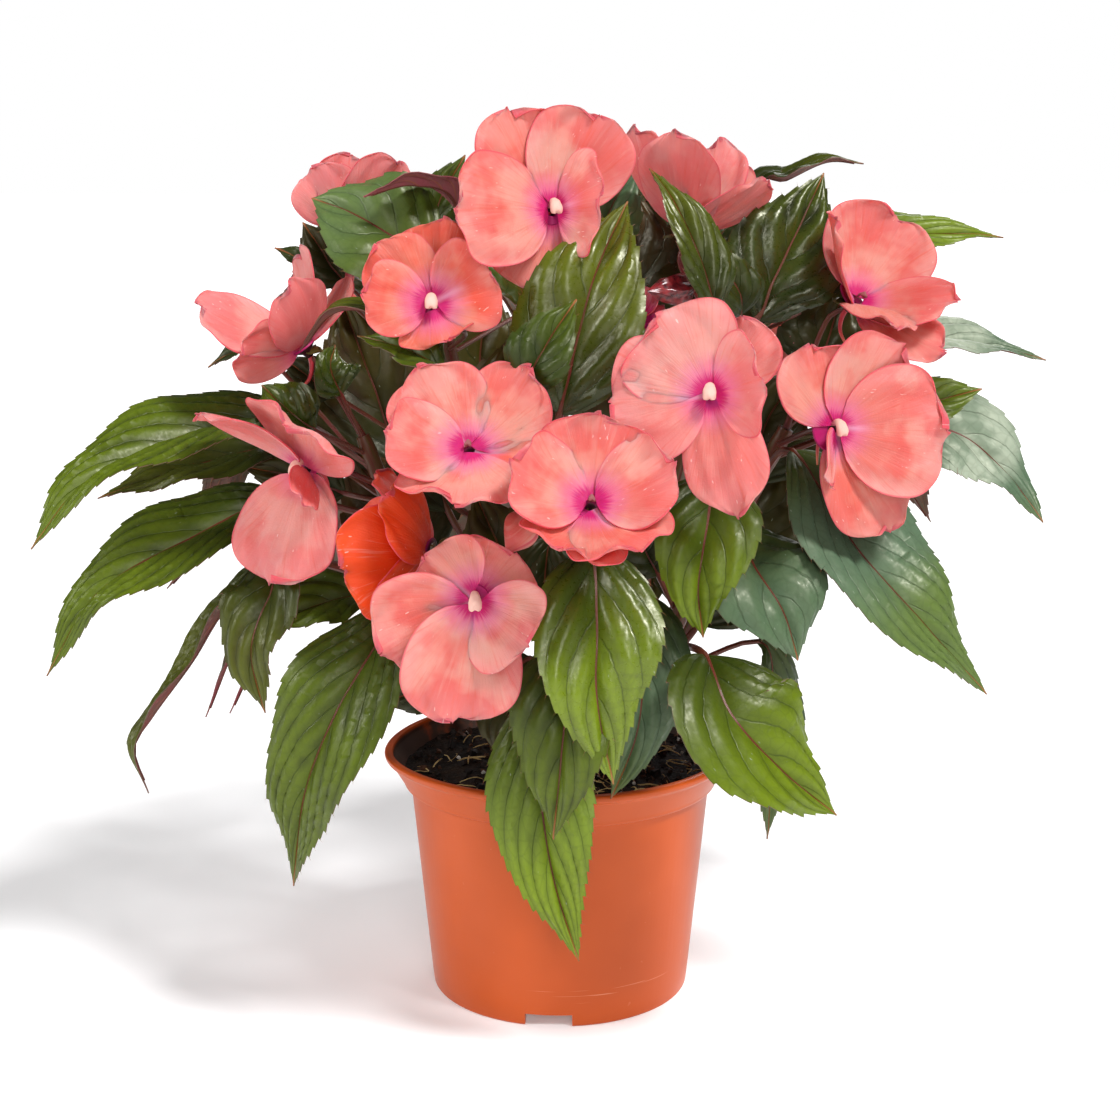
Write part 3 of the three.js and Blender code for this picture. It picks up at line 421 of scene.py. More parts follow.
def petalFace(name, isBack):
    look, tone = petalLook, petalColours
    material, tree, shader = newFinish(
        name, Specular_IOR_Level=0.25, Subsurface_Weight=look["glow"],
        Subsurface_Scale=look["glowDepth"] * mm, Subsurface_Radius=(1.0, 0.34, 0.26))
    x, y = mapped(tree, "blade")[1:]
    c, s = mapped(tree, "veins")[1:]
    depth, pinker, eye, chance = tinted(tree)
    own = ownPlace(tree, x, y, chance)
    cloud = cloudy(tree, own, look["cloudScale"])
    # fine rays fan out from the petal's root
    turn = calc(tree, "ARCTAN2", x, plus(tree, y, 0.03))
    fan = joined(tree, times(tree, turn, look["rays"]), times(tree, y, 4.0), chance)
    ray = cloudy(tree, fan, look["rayScale"], 2.0, 0.7)
    warm = plus(tree, between(tree, cloud, 0.36, 0.62), between(tree, s, 0.15, 0.95, -0.3, 0.3), True)
    colour = mixed(tree, warm, tone["pale"], tone["salmon"])
    # depth of colour: partly the bloom's own tone, partly painted shade on petals that lie under others
    colour = mixed(tree, depth, colour, tone["deep"])
    outer = calc(tree, "MAXIMUM", absolute(tree, c), s)
    cooler = times(tree, between(tree, outer, 0.5, 1.0, 0.0, 0.4), minus(tree, 1.0, depth))
    colour = mixed(tree, cooler, colour, tone["cool"])
    colour = mixed(tree, fading(tree, ray, 0.24, 0.44, look["rayShare"]), colour, tone["pale"])
    colour = mixed(tree, times(tree, pinker, look["pinkShare"]), colour, tone["cool"])
    colour = mixed(tree, between(tree, ray, 0.5, 0.78, 0.0, look["rayShare"]), colour, tone["deep"])
    colour = mixed(tree, between(tree, outer, 0.96, 0.995, 0.0, look["edgeShare"]), colour, tone["pink"])
    # fine pale specks: partly scratches on the petal, partly painted glints of light on its surface
    scratchAndGlint = cloudy(tree, stretched(tree, own, (1.0, 0.3, 1.0)), look["speckScale"], 1.0)
    scratchAndGlint = times(tree, between(tree, scratchAndGlint, 0.70, 0.77),
                 between(tree, cloudy(tree, own, 12.0, 1.0), 0.5, 0.62, 0.0, look["speckShare"]))
    colour = mixed(tree, scratchAndGlint, colour, tone["scratchAndGlint"])
    if isBack:
        colour = mixed(tree, between(tree, s, 0.0, 0.5, 0.7, 0.05), colour, tone["pink"])
    else:
        # the magenta eye with its haze, and a pale streak that runs out of it on some petals
        reach = vectorLength(tree, joined(tree, x, plus(tree, y, look["eyeAt"])))
        reach = plus(tree, reach, times(tree, minus(tree, ray, 0.5), 0.05))
        colour = mixed(tree, times(tree, fading(tree, reach, *look["hazeReach"]), eye), colour, tone["haze"])
        colour = mixed(tree, times(tree, fading(tree, reach, *look["haloReach"]), eye), colour,
                       tone["magenta"])
        thin = fading(tree, absolute(tree, plus(tree, x, 0.004)), 0.0, 0.016)
        streak = times(tree, thin, fading(tree, y, 0.03, 0.12, 0.5))
        streak = times(tree, streak, between(tree, chance, 0.62, 0.66))
        colour = mixed(tree, times(tree, streak, eye), colour, tone["streak"])
    cells = cloudy(tree, own, look["cellScale"], 1.0)
    finishWith(tree, shader, colour, ramp(tree, cells, 0.42, 0.6), plus(tree, ray, times(tree, cells, 0.3)),
               0.5, 0.4)
    return material


eyeColours = {
    "hole": (0.030, 0.001, 0.007, 1), "lip": (0.380, 0.006, 0.110, 1), "cream": (0.800, 0.470, 0.390, 1),
    "blush": (0.600, 0.140, 0.180, 1), "pollen": (0.840, 0.620, 0.480, 1),
    "shaded": (0.180, 0.012, 0.030, 1), "spur": (0.620, 0.040, 0.045, 1), "spurTip": (0.750, 0.200, 0.090, 1),
}


def throatSkin():
    material, tree, shader = newFinish("throatSkin", Specular_IOR_Level=0.4)
    blade, _, y = mapped(tree, "blade")
    cloud = cloudy(tree, blade, 30.0)
    # painted shade: the throat darkens to near black towards its depth, and in patches
    colour = mixed(tree, between(tree, y, -0.034, -0.024), eyeColours["hole"], eyeColours["lip"])
    colour = mixed(tree, between(tree, cloud, 0.5, 0.8, 0.0, 0.4), colour, eyeColours["hole"])
    finishWith(tree, shader, colour, ramp(tree, cloud, 0.4, 0.6), cloud, 0.3, 0.3)
    return material


def creamCap():
    # the tint's red part shades a cap that lies deep in its bloom
    material, tree, shader = newFinish("creamCap", Specular_IOR_Level=0.4)
    s = mapped(tree, "veins")[2]
    grain = cloudy(tree, mapped(tree, "blade")[0], 130.0)
    colour = mixed(tree, between(tree, s, 0.15, 0.55), eyeColours["blush"], eyeColours["cream"])
    colour = mixed(tree, between(tree, grain, 0.45, 0.75, 0.0, 0.4), colour, eyeColours["pollen"])
    colour = mixed(tree, times(tree, tinted(tree)[0], 0.85), colour, eyeColours["shaded"])
    finishWith(tree, shader, colour, ramp(tree, grain, 0.5, 0.7), grain, 0.5, 0.35)
    return material


def spurSkin():
    material, tree, shader = newFinish("spurSkin", Specular_IOR_Level=0.45, Coat_Weight=0.1)
    s = mapped(tree, "veins")[2]
    cloud = cloudy(tree, mapped(tree, "blade")[0], 40.0)
    colour = mixed(tree, between(tree, s, 0.5, 1.0), eyeColours["spur"], eyeColours["spurTip"])
    colour = mixed(tree, between(tree, cloud, 0.4, 0.7, 0.0, 0.4), colour, eyeColours["lip"])
    finishWith(tree, shader, colour, ramp(tree, cloud, 0.35, 0.5), cloud, 0.2, 0.2)
    return material


wiltedColours = {"dark": (0.070, 0.004, 0.008, 1), "red": (0.300, 0.018, 0.022, 1)}


def wiltedSkin():
    material, tree, shader = newFinish("wiltedSkin", Specular_IOR_Level=0.5, Coat_Weight=0.3,
                                       Coat_Roughness=0.2)
    cloud = cloudy(tree, mapped(tree, "blade")[0], 40.0, 4.0)
    colour = mixed(tree, between(tree, cloud, 0.35, 0.65), wiltedColours["dark"], wiltedColours["red"])
    finishWith(tree, shader, colour, ramp(tree, cloud, 0.25, 0.45), cloud, 0.5, 0.5)
    return material


potLook = {
    "clay": (0.540, 0.088, 0.013, 1), "warm": (0.490, 0.076, 0.009, 1),
    "scuff": (0.80, 0.36, 0.22, 1), "wallDark": (0.050, 0.024, 0.015, 1),
    "cloudScale": 18.0, "grainScale": 700.0, "fleckScale": 420.0, "scuffShare": 0.5, "fleckShare": 0.12,
    "scuffAt": 0.115, "darkLine": (0.842, 0.856),  # heights, in 100 mm
}


def potPlastic():
    # moulded plastic with a few level scuffs low on the wall
    look = potLook
    material, tree, shader = newFinish("potPlastic", Specular_IOR_Level=0.28)
    at = place(tree)
    blade, _, y = mapped(tree, "blade")
    cloud = cloudy(tree, at, look["cloudScale"])
    colour = mixed(tree, between(tree, cloud, 0.35, 0.65), look["clay"], look["warm"])
    drawn = cloudy(tree, stretched(tree, blade, (0.35, 22.0, 1.0)), 5.0, 2.0)
    level = fading(tree, absolute(tree, minus(tree, y, look["scuffAt"])), 0.0, 0.05)
    scuff = times(tree, between(tree, drawn, 0.64, 0.70), level)
    colour = mixed(tree, times(tree, scuff, look["scuffShare"]), colour, look["scuff"])
    fleck = between(tree, cloudy(tree, at, look["fleckScale"], 1.0), 0.77, 0.83)
    colour = mixed(tree, times(tree, fleck, look["fleckShare"]), colour, look["scuff"])
    grain = cloudy(tree, at, look["grainScale"], 2.0)
    ripple = cloudy(tree, stretched(tree, blade, (1.0, 0.1, 1.0)), 16.0)
    finishWith(tree, shader, colour, ramp(tree, cloud, 0.30, 0.40),
               plus(tree, times(tree, grain, 0.15), ripple), 0.25, 0.25)
    return material


def potInside():
    # the wall above the soil, darker in patches from the soil up to a line just under the lip
    material, tree, shader = newFinish("potInside", Specular_IOR_Level=0.4)
    y = mapped(tree, "blade")[2]
    cloud = cloudy(tree, place(tree), 60.0, 4.0)
    darkened = times(tree, between(tree, cloud, 0.2, 0.4), fading(tree, y, *potLook["darkLine"]))
    colour = mixed(tree, darkened, potLook["warm"], potLook["wallDark"])
    finishWith(tree, shader, colour, ramp(tree, cloud, 0.4, 0.6), cloud, 0.3, 0.3)
    return material


soilColours = {
    "peat": (0.002, 0.0015, 0.001, 1), "brown": (0.024, 0.013, 0.007, 1), "speck": (0.25, 0.17, 0.08, 1),
    "barkCrumb": [(0.005, 0.003, 0.002, 1), (0.085, 0.032, 0.013, 1)],
    "whiteGrit": [(0.30, 0.28, 0.24, 1), (0.66, 0.64, 0.58, 1)],
    "paleRoot": [(0.30, 0.18, 0.07, 1), (0.78, 0.60, 0.26, 1)],
}


def peatGround():
    material, tree, shader = newFinish("peatGround", Specular_IOR_Level=0.15)
    at = place(tree)
    lump = cloudy(tree, at, 160.0, 5.0, 0.7)
    fine = cloudy(tree, at, 900.0)
    colour = mixed(tree, between(tree, lump, 0.35, 0.7), soilColours["peat"], soilColours["brown"])
    colour = mixed(tree, times(tree, between(tree, fine, 0.68, 0.74), 0.7), colour, soilColours["speck"])
    finishWith(tree, shader, colour, ramp(tree, fine, 0.65, 0.95), plus(tree, lump, times(tree, fine, 0.5)),
               0.9, 1.2)
    return material


def scrapSkin(name):
    # bark, grit and roots: the tint's red part turns the dark colour into the light one
    dark, light = soilColours[name]
    material, tree, shader = newFinish(name, Specular_IOR_Level=0.3)
    grain = cloudy(tree, place(tree), 700.0)
    colour = mixed(tree, tinted(tree)[0], dark, light)
    colour = mixed(tree, between(tree, grain, 0.4, 0.7, 0.0, 0.5), colour, dark)
    finishWith(tree, shader, colour, ramp(tree, grain, 0.5, 0.9), grain, 0.7, 0.5)
    return material


stalkFinish = stalkSkin()
leafFinishes = [leafUpper("leafUpper", specular=0.32, smoothest=0.34, roughest=0.48), leafUnder(),
                stalkFinish, leafUpper("leafShiny", specular=0.5, smoothest=0.27, roughest=0.38)]
bloomFinishes = [petalFace("petalFace", isBack=False), petalFace("petalBack", isBack=True), throatSkin(),
                 spurSkin(), stalkFinish]
print("finishes made")


# The studio

studio = {
    "floorHalf": 12.0, "cameraAt": (0.0, -0.6735, 0.2908), "cameraTilt": 78.32, "lens": 64.3, "sensor": 36,
    "clip": (0.05, 40), "ambient": 0.075, "backdrop": 1.0, "sun": 3.5, "sunSoftness": 14,
    "sunFrom": (0.55, -0.55, 1.0), "floorGlow": 0.17, "farGlow": 0.5, "floor": (0.86, 0.86, 0.87, 1),
    "floorWarm": (0.90, 0.89, 0.89, 1),
}
lamps = [  # name, place, aim, size in metres, watts
    ("frontLamp", (0.15, -1.6, 0.75), (0, 0, 0.16), 0.6, 9),
    ("leftLamp", (-1.3, -0.5, 0.8), (0, 0, 0.16), 0.5, 11),
    ("backLamp", (0.5, 1.3, 1.0), (0, 0, 0.18), 0.9, 9),
]


def studioFloor():
    half = studio["floorHalf"]
    mesh = bpy.data.meshes.new("studioFloor")
    mesh.from_pydata([(-half, -half, 0), (half, -half, 0), (half, half, 0), (-half, half, 0)], [],
                     [(0, 1, 2, 3)])
    floor = bpy.data.objects.new("studioFloor", mesh)
    bpy.context.scene.collection.objects.link(floor)
    material, tree, shader = newFinish("floorPaint", Specular_IOR_Level=0.2, Emission_Color=(1, 1, 1, 1))
    at = place(tree)
    # the floor glows a little, and more far away, so that it runs into the backdrop
    tree.links.new(between(tree, vectorLength(tree, at), 0.6, 2.5, studio["floorGlow"], studio["farGlow"]),
                   shader.inputs["Emission Strength"])
    cloud = cloudy(tree, at, 3.0)
    finishWith(tree, shader, mixed(tree, cloud, studio["floor"], studio["floorWarm"]),
               between(tree, cloud, 0.0, 1.0, 0.7, 0.8))
    mesh.materials.append(material)


def aimed(direction):
    return Vector(direction).to_track_quat("-Z", "Y").to_euler()


def makeStudio():
    scene = bpy.context.scene
    camera = bpy.data.objects.new("camera", bpy.data.cameras.new("camera"))
    camera.data.sensor_width, camera.data.lens = studio["sensor"], studio["lens"]
    camera.data.clip_start, camera.data.clip_end = studio["clip"]
    camera.location = studio["cameraAt"]
    camera.rotation_euler = (math.radians(studio["cameraTilt"]), 0, 0)
    scene.collection.objects.link(camera)
    scene.camera = camera
    world = bpy.data.worlds.new("studio")
    scene.world = world
    world.use_nodes = True
    tree = world.node_tree
    sky = tree.nodes["Background"]
    sky.inputs["Color"].default_value = (1, 1, 1, 1)
    # white behind the plant, but only a faint light on it
    seen = wire(tree, "LightPath").outputs["Is Camera Ray"]
    strength = between(tree, seen, 0.0, 1.0, studio["ambient"], studio["backdrop"])
    tree.links.new(strength, sky.inputs["Strength"])
    sun = bpy.data.objects.new("sun", bpy.data.lights.new("sun", "SUN"))
    sun.data.energy, sun.data.angle = studio["sun"], math.radians(studio["sunSoftness"])
    sun.rotation_euler = aimed(-Vector(studio["sunFrom"]))
    scene.collection.objects.link(sun)
    for name, at, aim, size, watts in lamps:
        data = bpy.data.lights.new(name, "AREA")
        data.size, data.energy = size, watts
        lamp = bpy.data.objects.new(name, data)
        lamp.location = at
        lamp.rotation_euler = aimed(Vector(aim) - Vector(at))
        scene.collection.objects.link(lamp)
    scene.view_settings.view_transform = "Standard"
    studioFloor()
    print("studio made")


makeStudio()


# The pot

pot = {
    "height": 86.0, "rim": 60.0, "lip": 2.6, "band": 12.3, "bandTop": 58.6, "bandBottom": 54.6,
    "bodyTop": 52.4, "foot": 44.9, "footWidth": 3.4, "footHeight": 8.5, "floor": 5.6, "wall": 1.5,
    "sides": 180, "notchWidth": 16.0, "notchHeight": 4.4, "notchAngles": (-95, 25, 145), "drain": 3.2,
    "drainRing": 30.0, "drains": 6, "drainSides": 24, "drainCut": (3, 9), "cutMargin": 4,
    "sag": 1.6, "sagAngle": 187, "sagSpread": 26, "sagFrom": 70, "sharpAngle": 35,
}


def roundedProfile(corners):
    # corner points with a rounding radius each, as a run of (radius, height) points
    out = []
    for i, (r, z, bend) in enumerate(corners):
        here = np.array([r, z])
        if bend == 0 or i in (0, len(corners) - 1):
            out.append(here)
            continue
        before, after = np.array(corners[i - 1][:2]) - here, np.array(corners[i + 1][:2]) - here
        start = here + unit(before) * min(bend, np.linalg.norm(before) * 0.49)
        end = here + unit(after) * min(bend, np.linalg.norm(after) * 0.49)
        for t in np.linspace(0, 1, 5):
            out.append((1 - t) ** 2 * start + 2 * t * (1 - t) * here + t**2 * end)
    return out


def potCutters():
    # blocks that cut the notches into the foot ring, and the drain holes' cylinders
    p = pot
    inner, half = p["foot"] - p["footWidth"], p["notchWidth"] / 2
    out = p["cutMargin"]
    block = [(a, b, c) for a in (inner - out, p["foot"] + out) for b in (-half, half)
             for c in (-out, p["notchHeight"])]
    cutters = []
    for turn in p["notchAngles"]:
        a = math.radians(turn)
        points = [(u * math.cos(a) - v * math.sin(a), u * math.sin(a) + v * math.cos(a), w)
                  for u, v, w in block]
        cutters.append((points, boxFaces))
    n = p["drainSides"]
    walls = [(k, (k + 1) % n, n + (k + 1) % n, n + k) for k in range(n)]
    for i in range(p["drains"]):
        a = 2 * math.pi * (i + 0.5) / p["drains"]
        x, y = p["drainRing"] * math.cos(a), p["drainRing"] * math.sin(a)
        points = [(x + p["drain"] * math.cos(t), y + p["drain"] * math.sin(t), h)
                  for h in p["drainCut"] for t in around(n)]
        cutters.append((points, walls + [tuple(range(n - 1, -1, -1)), tuple(range(n, 2 * n))]))
    points, faces = [], []
    for some, sides in cutters:
        faces += [tuple(k + len(points) for k in side) for side in sides]
        points += some
    mesh = bpy.data.meshes.new("potCutter")
    mesh.from_pydata((np.array(points) * mm).tolist(), [], faces)
    return mesh


def makePot():
    p = pot
    top, bandLow, inner = p["height"], p["height"] - p["band"], p["foot"] - p["footWidth"]
    innerTop = p["bandTop"] - p["wall"]
    outside = roundedProfile([
        (0.01, p["floor"], 0), (inner, p["floor"], 0.6), (inner, 0, 0.5), (p["foot"], 0, 1.0),
        (p["foot"] + 0.9, p["footHeight"], 2.0), (p["bodyTop"] - 0.5, bandLow - 3.0, 2.0),
        (p["bodyTop"], bandLow - 0.3, 0.5), (p["bandBottom"] - 0.2, bandLow, 0.9),
        (p["bandBottom"] + 0.25, bandLow + 1.6, 0.5), (p["bandTop"] - 0.3, top - p["lip"] - 0.8, 0.8),
        (p["rim"] - 0.2, top - p["lip"] + 0.2, 0.8), (p["rim"], top - 0.6, 0.8),
        (p["rim"] - 1.2, top, 0.7), (innerTop, top - 0.2, 0.6),
    ])
    inside = roundedProfile([
        (innerTop - 0.1, top - 0.9, 0.5), (innerTop - 0.2, top - p["lip"], 0.5),
        (p["bandBottom"] - p["wall"], bandLow + p["wall"], 1.0),
        (p["bodyTop"] - p["wall"], bandLow - 1.5, 1.0),
        (inner, p["floor"] + p["wall"], 2.0), (0.01, p["floor"] + p["wall"], 0),
    ])
    body = turnedBody(outside + inside, p["sides"], 0, (0, 0, 0, 0))
    walls, floorUnder, floorUpper = body["faces"]
    isOutside = np.arange(len(walls)) // p["sides"] < len(outside)
    body["faces"] = [walls[isOutside], walls[~isOutside], floorUnder, floorUpper]
    body["finish"] = [0, 1, 0, 1]  # potPlastic and potInside
    # the thin wall sags outward a little at one side of the rim
    x, y, z = body["points"].T
    angle = np.degrees(np.arctan2(y, x)) - p["sagAngle"]
    height = np.clip((z - p["sagFrom"]) / (top - p["sagFrom"]), 0, 1)
    near = np.exp(-(((angle + 180) % 360 - 180) / p["sagSpread"]) ** 2) * height**2
    body["points"] = body["points"] * (1 + (near * p["sag"] / p["rim"])[:, None] * np.array([1, 1, -0.35]))
    piece = newPiece("potShell", [body], [potPlastic(), potInside()], "pot")
    cutter = bpy.data.objects.new("potCutter", potCutters())
    bpy.context.scene.collection.objects.link(cutter)
    cut = piece.modifiers.new("holes", "BOOLEAN")
    cut.operation, cut.object, cut.solver = "DIFFERENCE", cutter, "EXACT"
    bpy.context.view_layer.update()
    done = bpy.data.meshes.new_from_object(piece.evaluated_get(bpy.context.evaluated_depsgraph_get()))
    piece.modifiers.clear()
    piece.data = done
    bpy.data.objects.remove(cutter)
    done.set_sharp_from_angle(angle=math.radians(p["sharpAngle"]))
    print("pot:", len(done.polygons), "faces")


makePot()


# The potting soil

soil = {
    "level": 79.0, "sides": 132, "rings": 40, "radius": 54.4, "seed": 7,
    "lump": 2.6, "lumpScale": 0.055, "fineLump": 0.35,
    "hollow": 2.2, "hollowAt": (-46, -8), "hollowSpread": 500,  # where the soil has sunk by the rim
    "skirt": ((52.4, 74), (50.2, 71), (41.2, 7.8), (0.4, 7.8)),  # radius and height, out of sight
    "crumbs": 520, "crumbReach": 53, "crumbSizes": (0.7, 1.1, 2.0), "crumbShares": (0.5, 0.38, 0.12),
    "grit": 30, "gritReach": 51, "fibres": 80, "fibreReach": 48, "fibreStep": 1.1,
    "fibreThick": (0.13, 0.30), "fibreTaper": (0.5, 0.9, 1, 1, 1, 1, 1, 0.8, 0.4),
}
scrapSlots = {"barkCrumb": 0, "whiteGrit": 1, "paleRoot": 2}


def soilHeight(x, y):
    where = Vector((x * soil["lumpScale"], y * soil["lumpScale"], 3.0))
    rough = noise.fractal(where, 0.9, 2.1, 5) + soil["fineLump"] * noise.noise(where * 6.0)
    hollowX, hollowY = soil["hollowAt"]
    near = math.exp(-(((x - hollowX) ** 2 + (y - hollowY) ** 2) / soil["hollowSpread"]))
    return soil["level"] + soil["lump"] * 0.5 * rough - soil["hollow"] * near


def scrap(random, at, size, kind, tone):
    # a jagged crumb: a box with every corner moved
    corners = np.array([(a, b, c) for a in (-1, 1) for b in (-1, 1) for c in (-1, 1)], float)
    corners = corners * size * random.uniform(0.55, 1.0, (8, 3))
    turn = np.linalg.qr(random.normal(size=(3, 3)))[0]
    if np.linalg.det(turn) < 0:
        turn[:, 0] *= -1
    flat = np.zeros((8, 2))
    return part(corners @ turn.T + at, [np.array(boxFaces)], [scrapSlots[kind]], flat, flat,
                (tone, 0, 0, random.random()))


def makeSoil():
    random = np.random.default_rng(soil["seed"])
    sides = soil["sides"]
    points = []
    for r in np.linspace(0.4, soil["radius"], soil["rings"]):
        for a in around(sides):
            x, y = r * math.cos(a), r * math.sin(a)
            points.append((x, y, soilHeight(x, y)))
    for r, z in soil["skirt"]:
        points += [(r * math.cos(a), r * math.sin(a), z) for a in around(sides)]
    flat = np.zeros((len(points), 2))
    body = part(np.array(points), ringFaces(len(points) // sides, sides, inward=True), [0, 0, 0], flat,
                flat, (0, 0, 0, 0))
    newPiece("pottingSoil", [body], [peatGround()], "soil")
    scraps = []

    def somewhere(reach):
        r, a = reach * math.sqrt(random.random()), random.uniform(0, 2 * math.pi)
        return r * math.cos(a), r * math.sin(a)

    for _ in range(soil["crumbs"]):
        x, y = somewhere(soil["crumbReach"])
        size = random.uniform(0.5, 1.0, 3) * random.choice(soil["crumbSizes"], p=soil["crumbShares"])
        at = x, y, soilHeight(x, y) + 0.3
        scraps.append(scrap(random, at, size, "barkCrumb", random.random() ** 3))
    for _ in range(soil["grit"]):
        x, y = somewhere(soil["gritReach"])
        at = x, y, soilHeight(x, y) + 0.4
        scraps.append(scrap(random, at, random.uniform(0.4, 0.8, 3), "whiteGrit", 1.0))
    taper = np.array(soil["fibreTaper"])
    for _ in range(soil["fibres"]):
        x, y = somewhere(soil["fibreReach"])
        heading, bend = random.uniform(0, 2 * math.pi), random.uniform(-0.5, 0.5)
        line = []
        for rise in np.sin(math.pi * np.arange(len(taper)) / (len(taper) - 1)):
            line.append((x, y, soilHeight(x, y) + 0.35 + 0.9 * rise))
            x, y = x + soil["fibreStep"] * math.cos(heading), y + soil["fibreStep"] * math.sin(heading)
            heading += bend * 0.5
        thick = random.uniform(*soil["fibreThick"]) * taper
        scraps.append(tube(line, thick, 5, scrapSlots["paleRoot"], (random.random(), 0, 0, 0)))
    newPiece("soilScraps", scraps, [scrapSkin(name) for name in scrapSlots], None)
    print("soil:", len(scraps), "scraps")


makeSoil()


# The plant

# Each shoot has its stem, from the soil to its tip, and its leaves. A leaf is: its tone, how far up the stem
# it grows (0 to 1), the middle line of its blade from foot to tip, its width, the way its upper face looks
# and how far its halves fold up. The inner ones are small, lie deep in the crown and only close it.

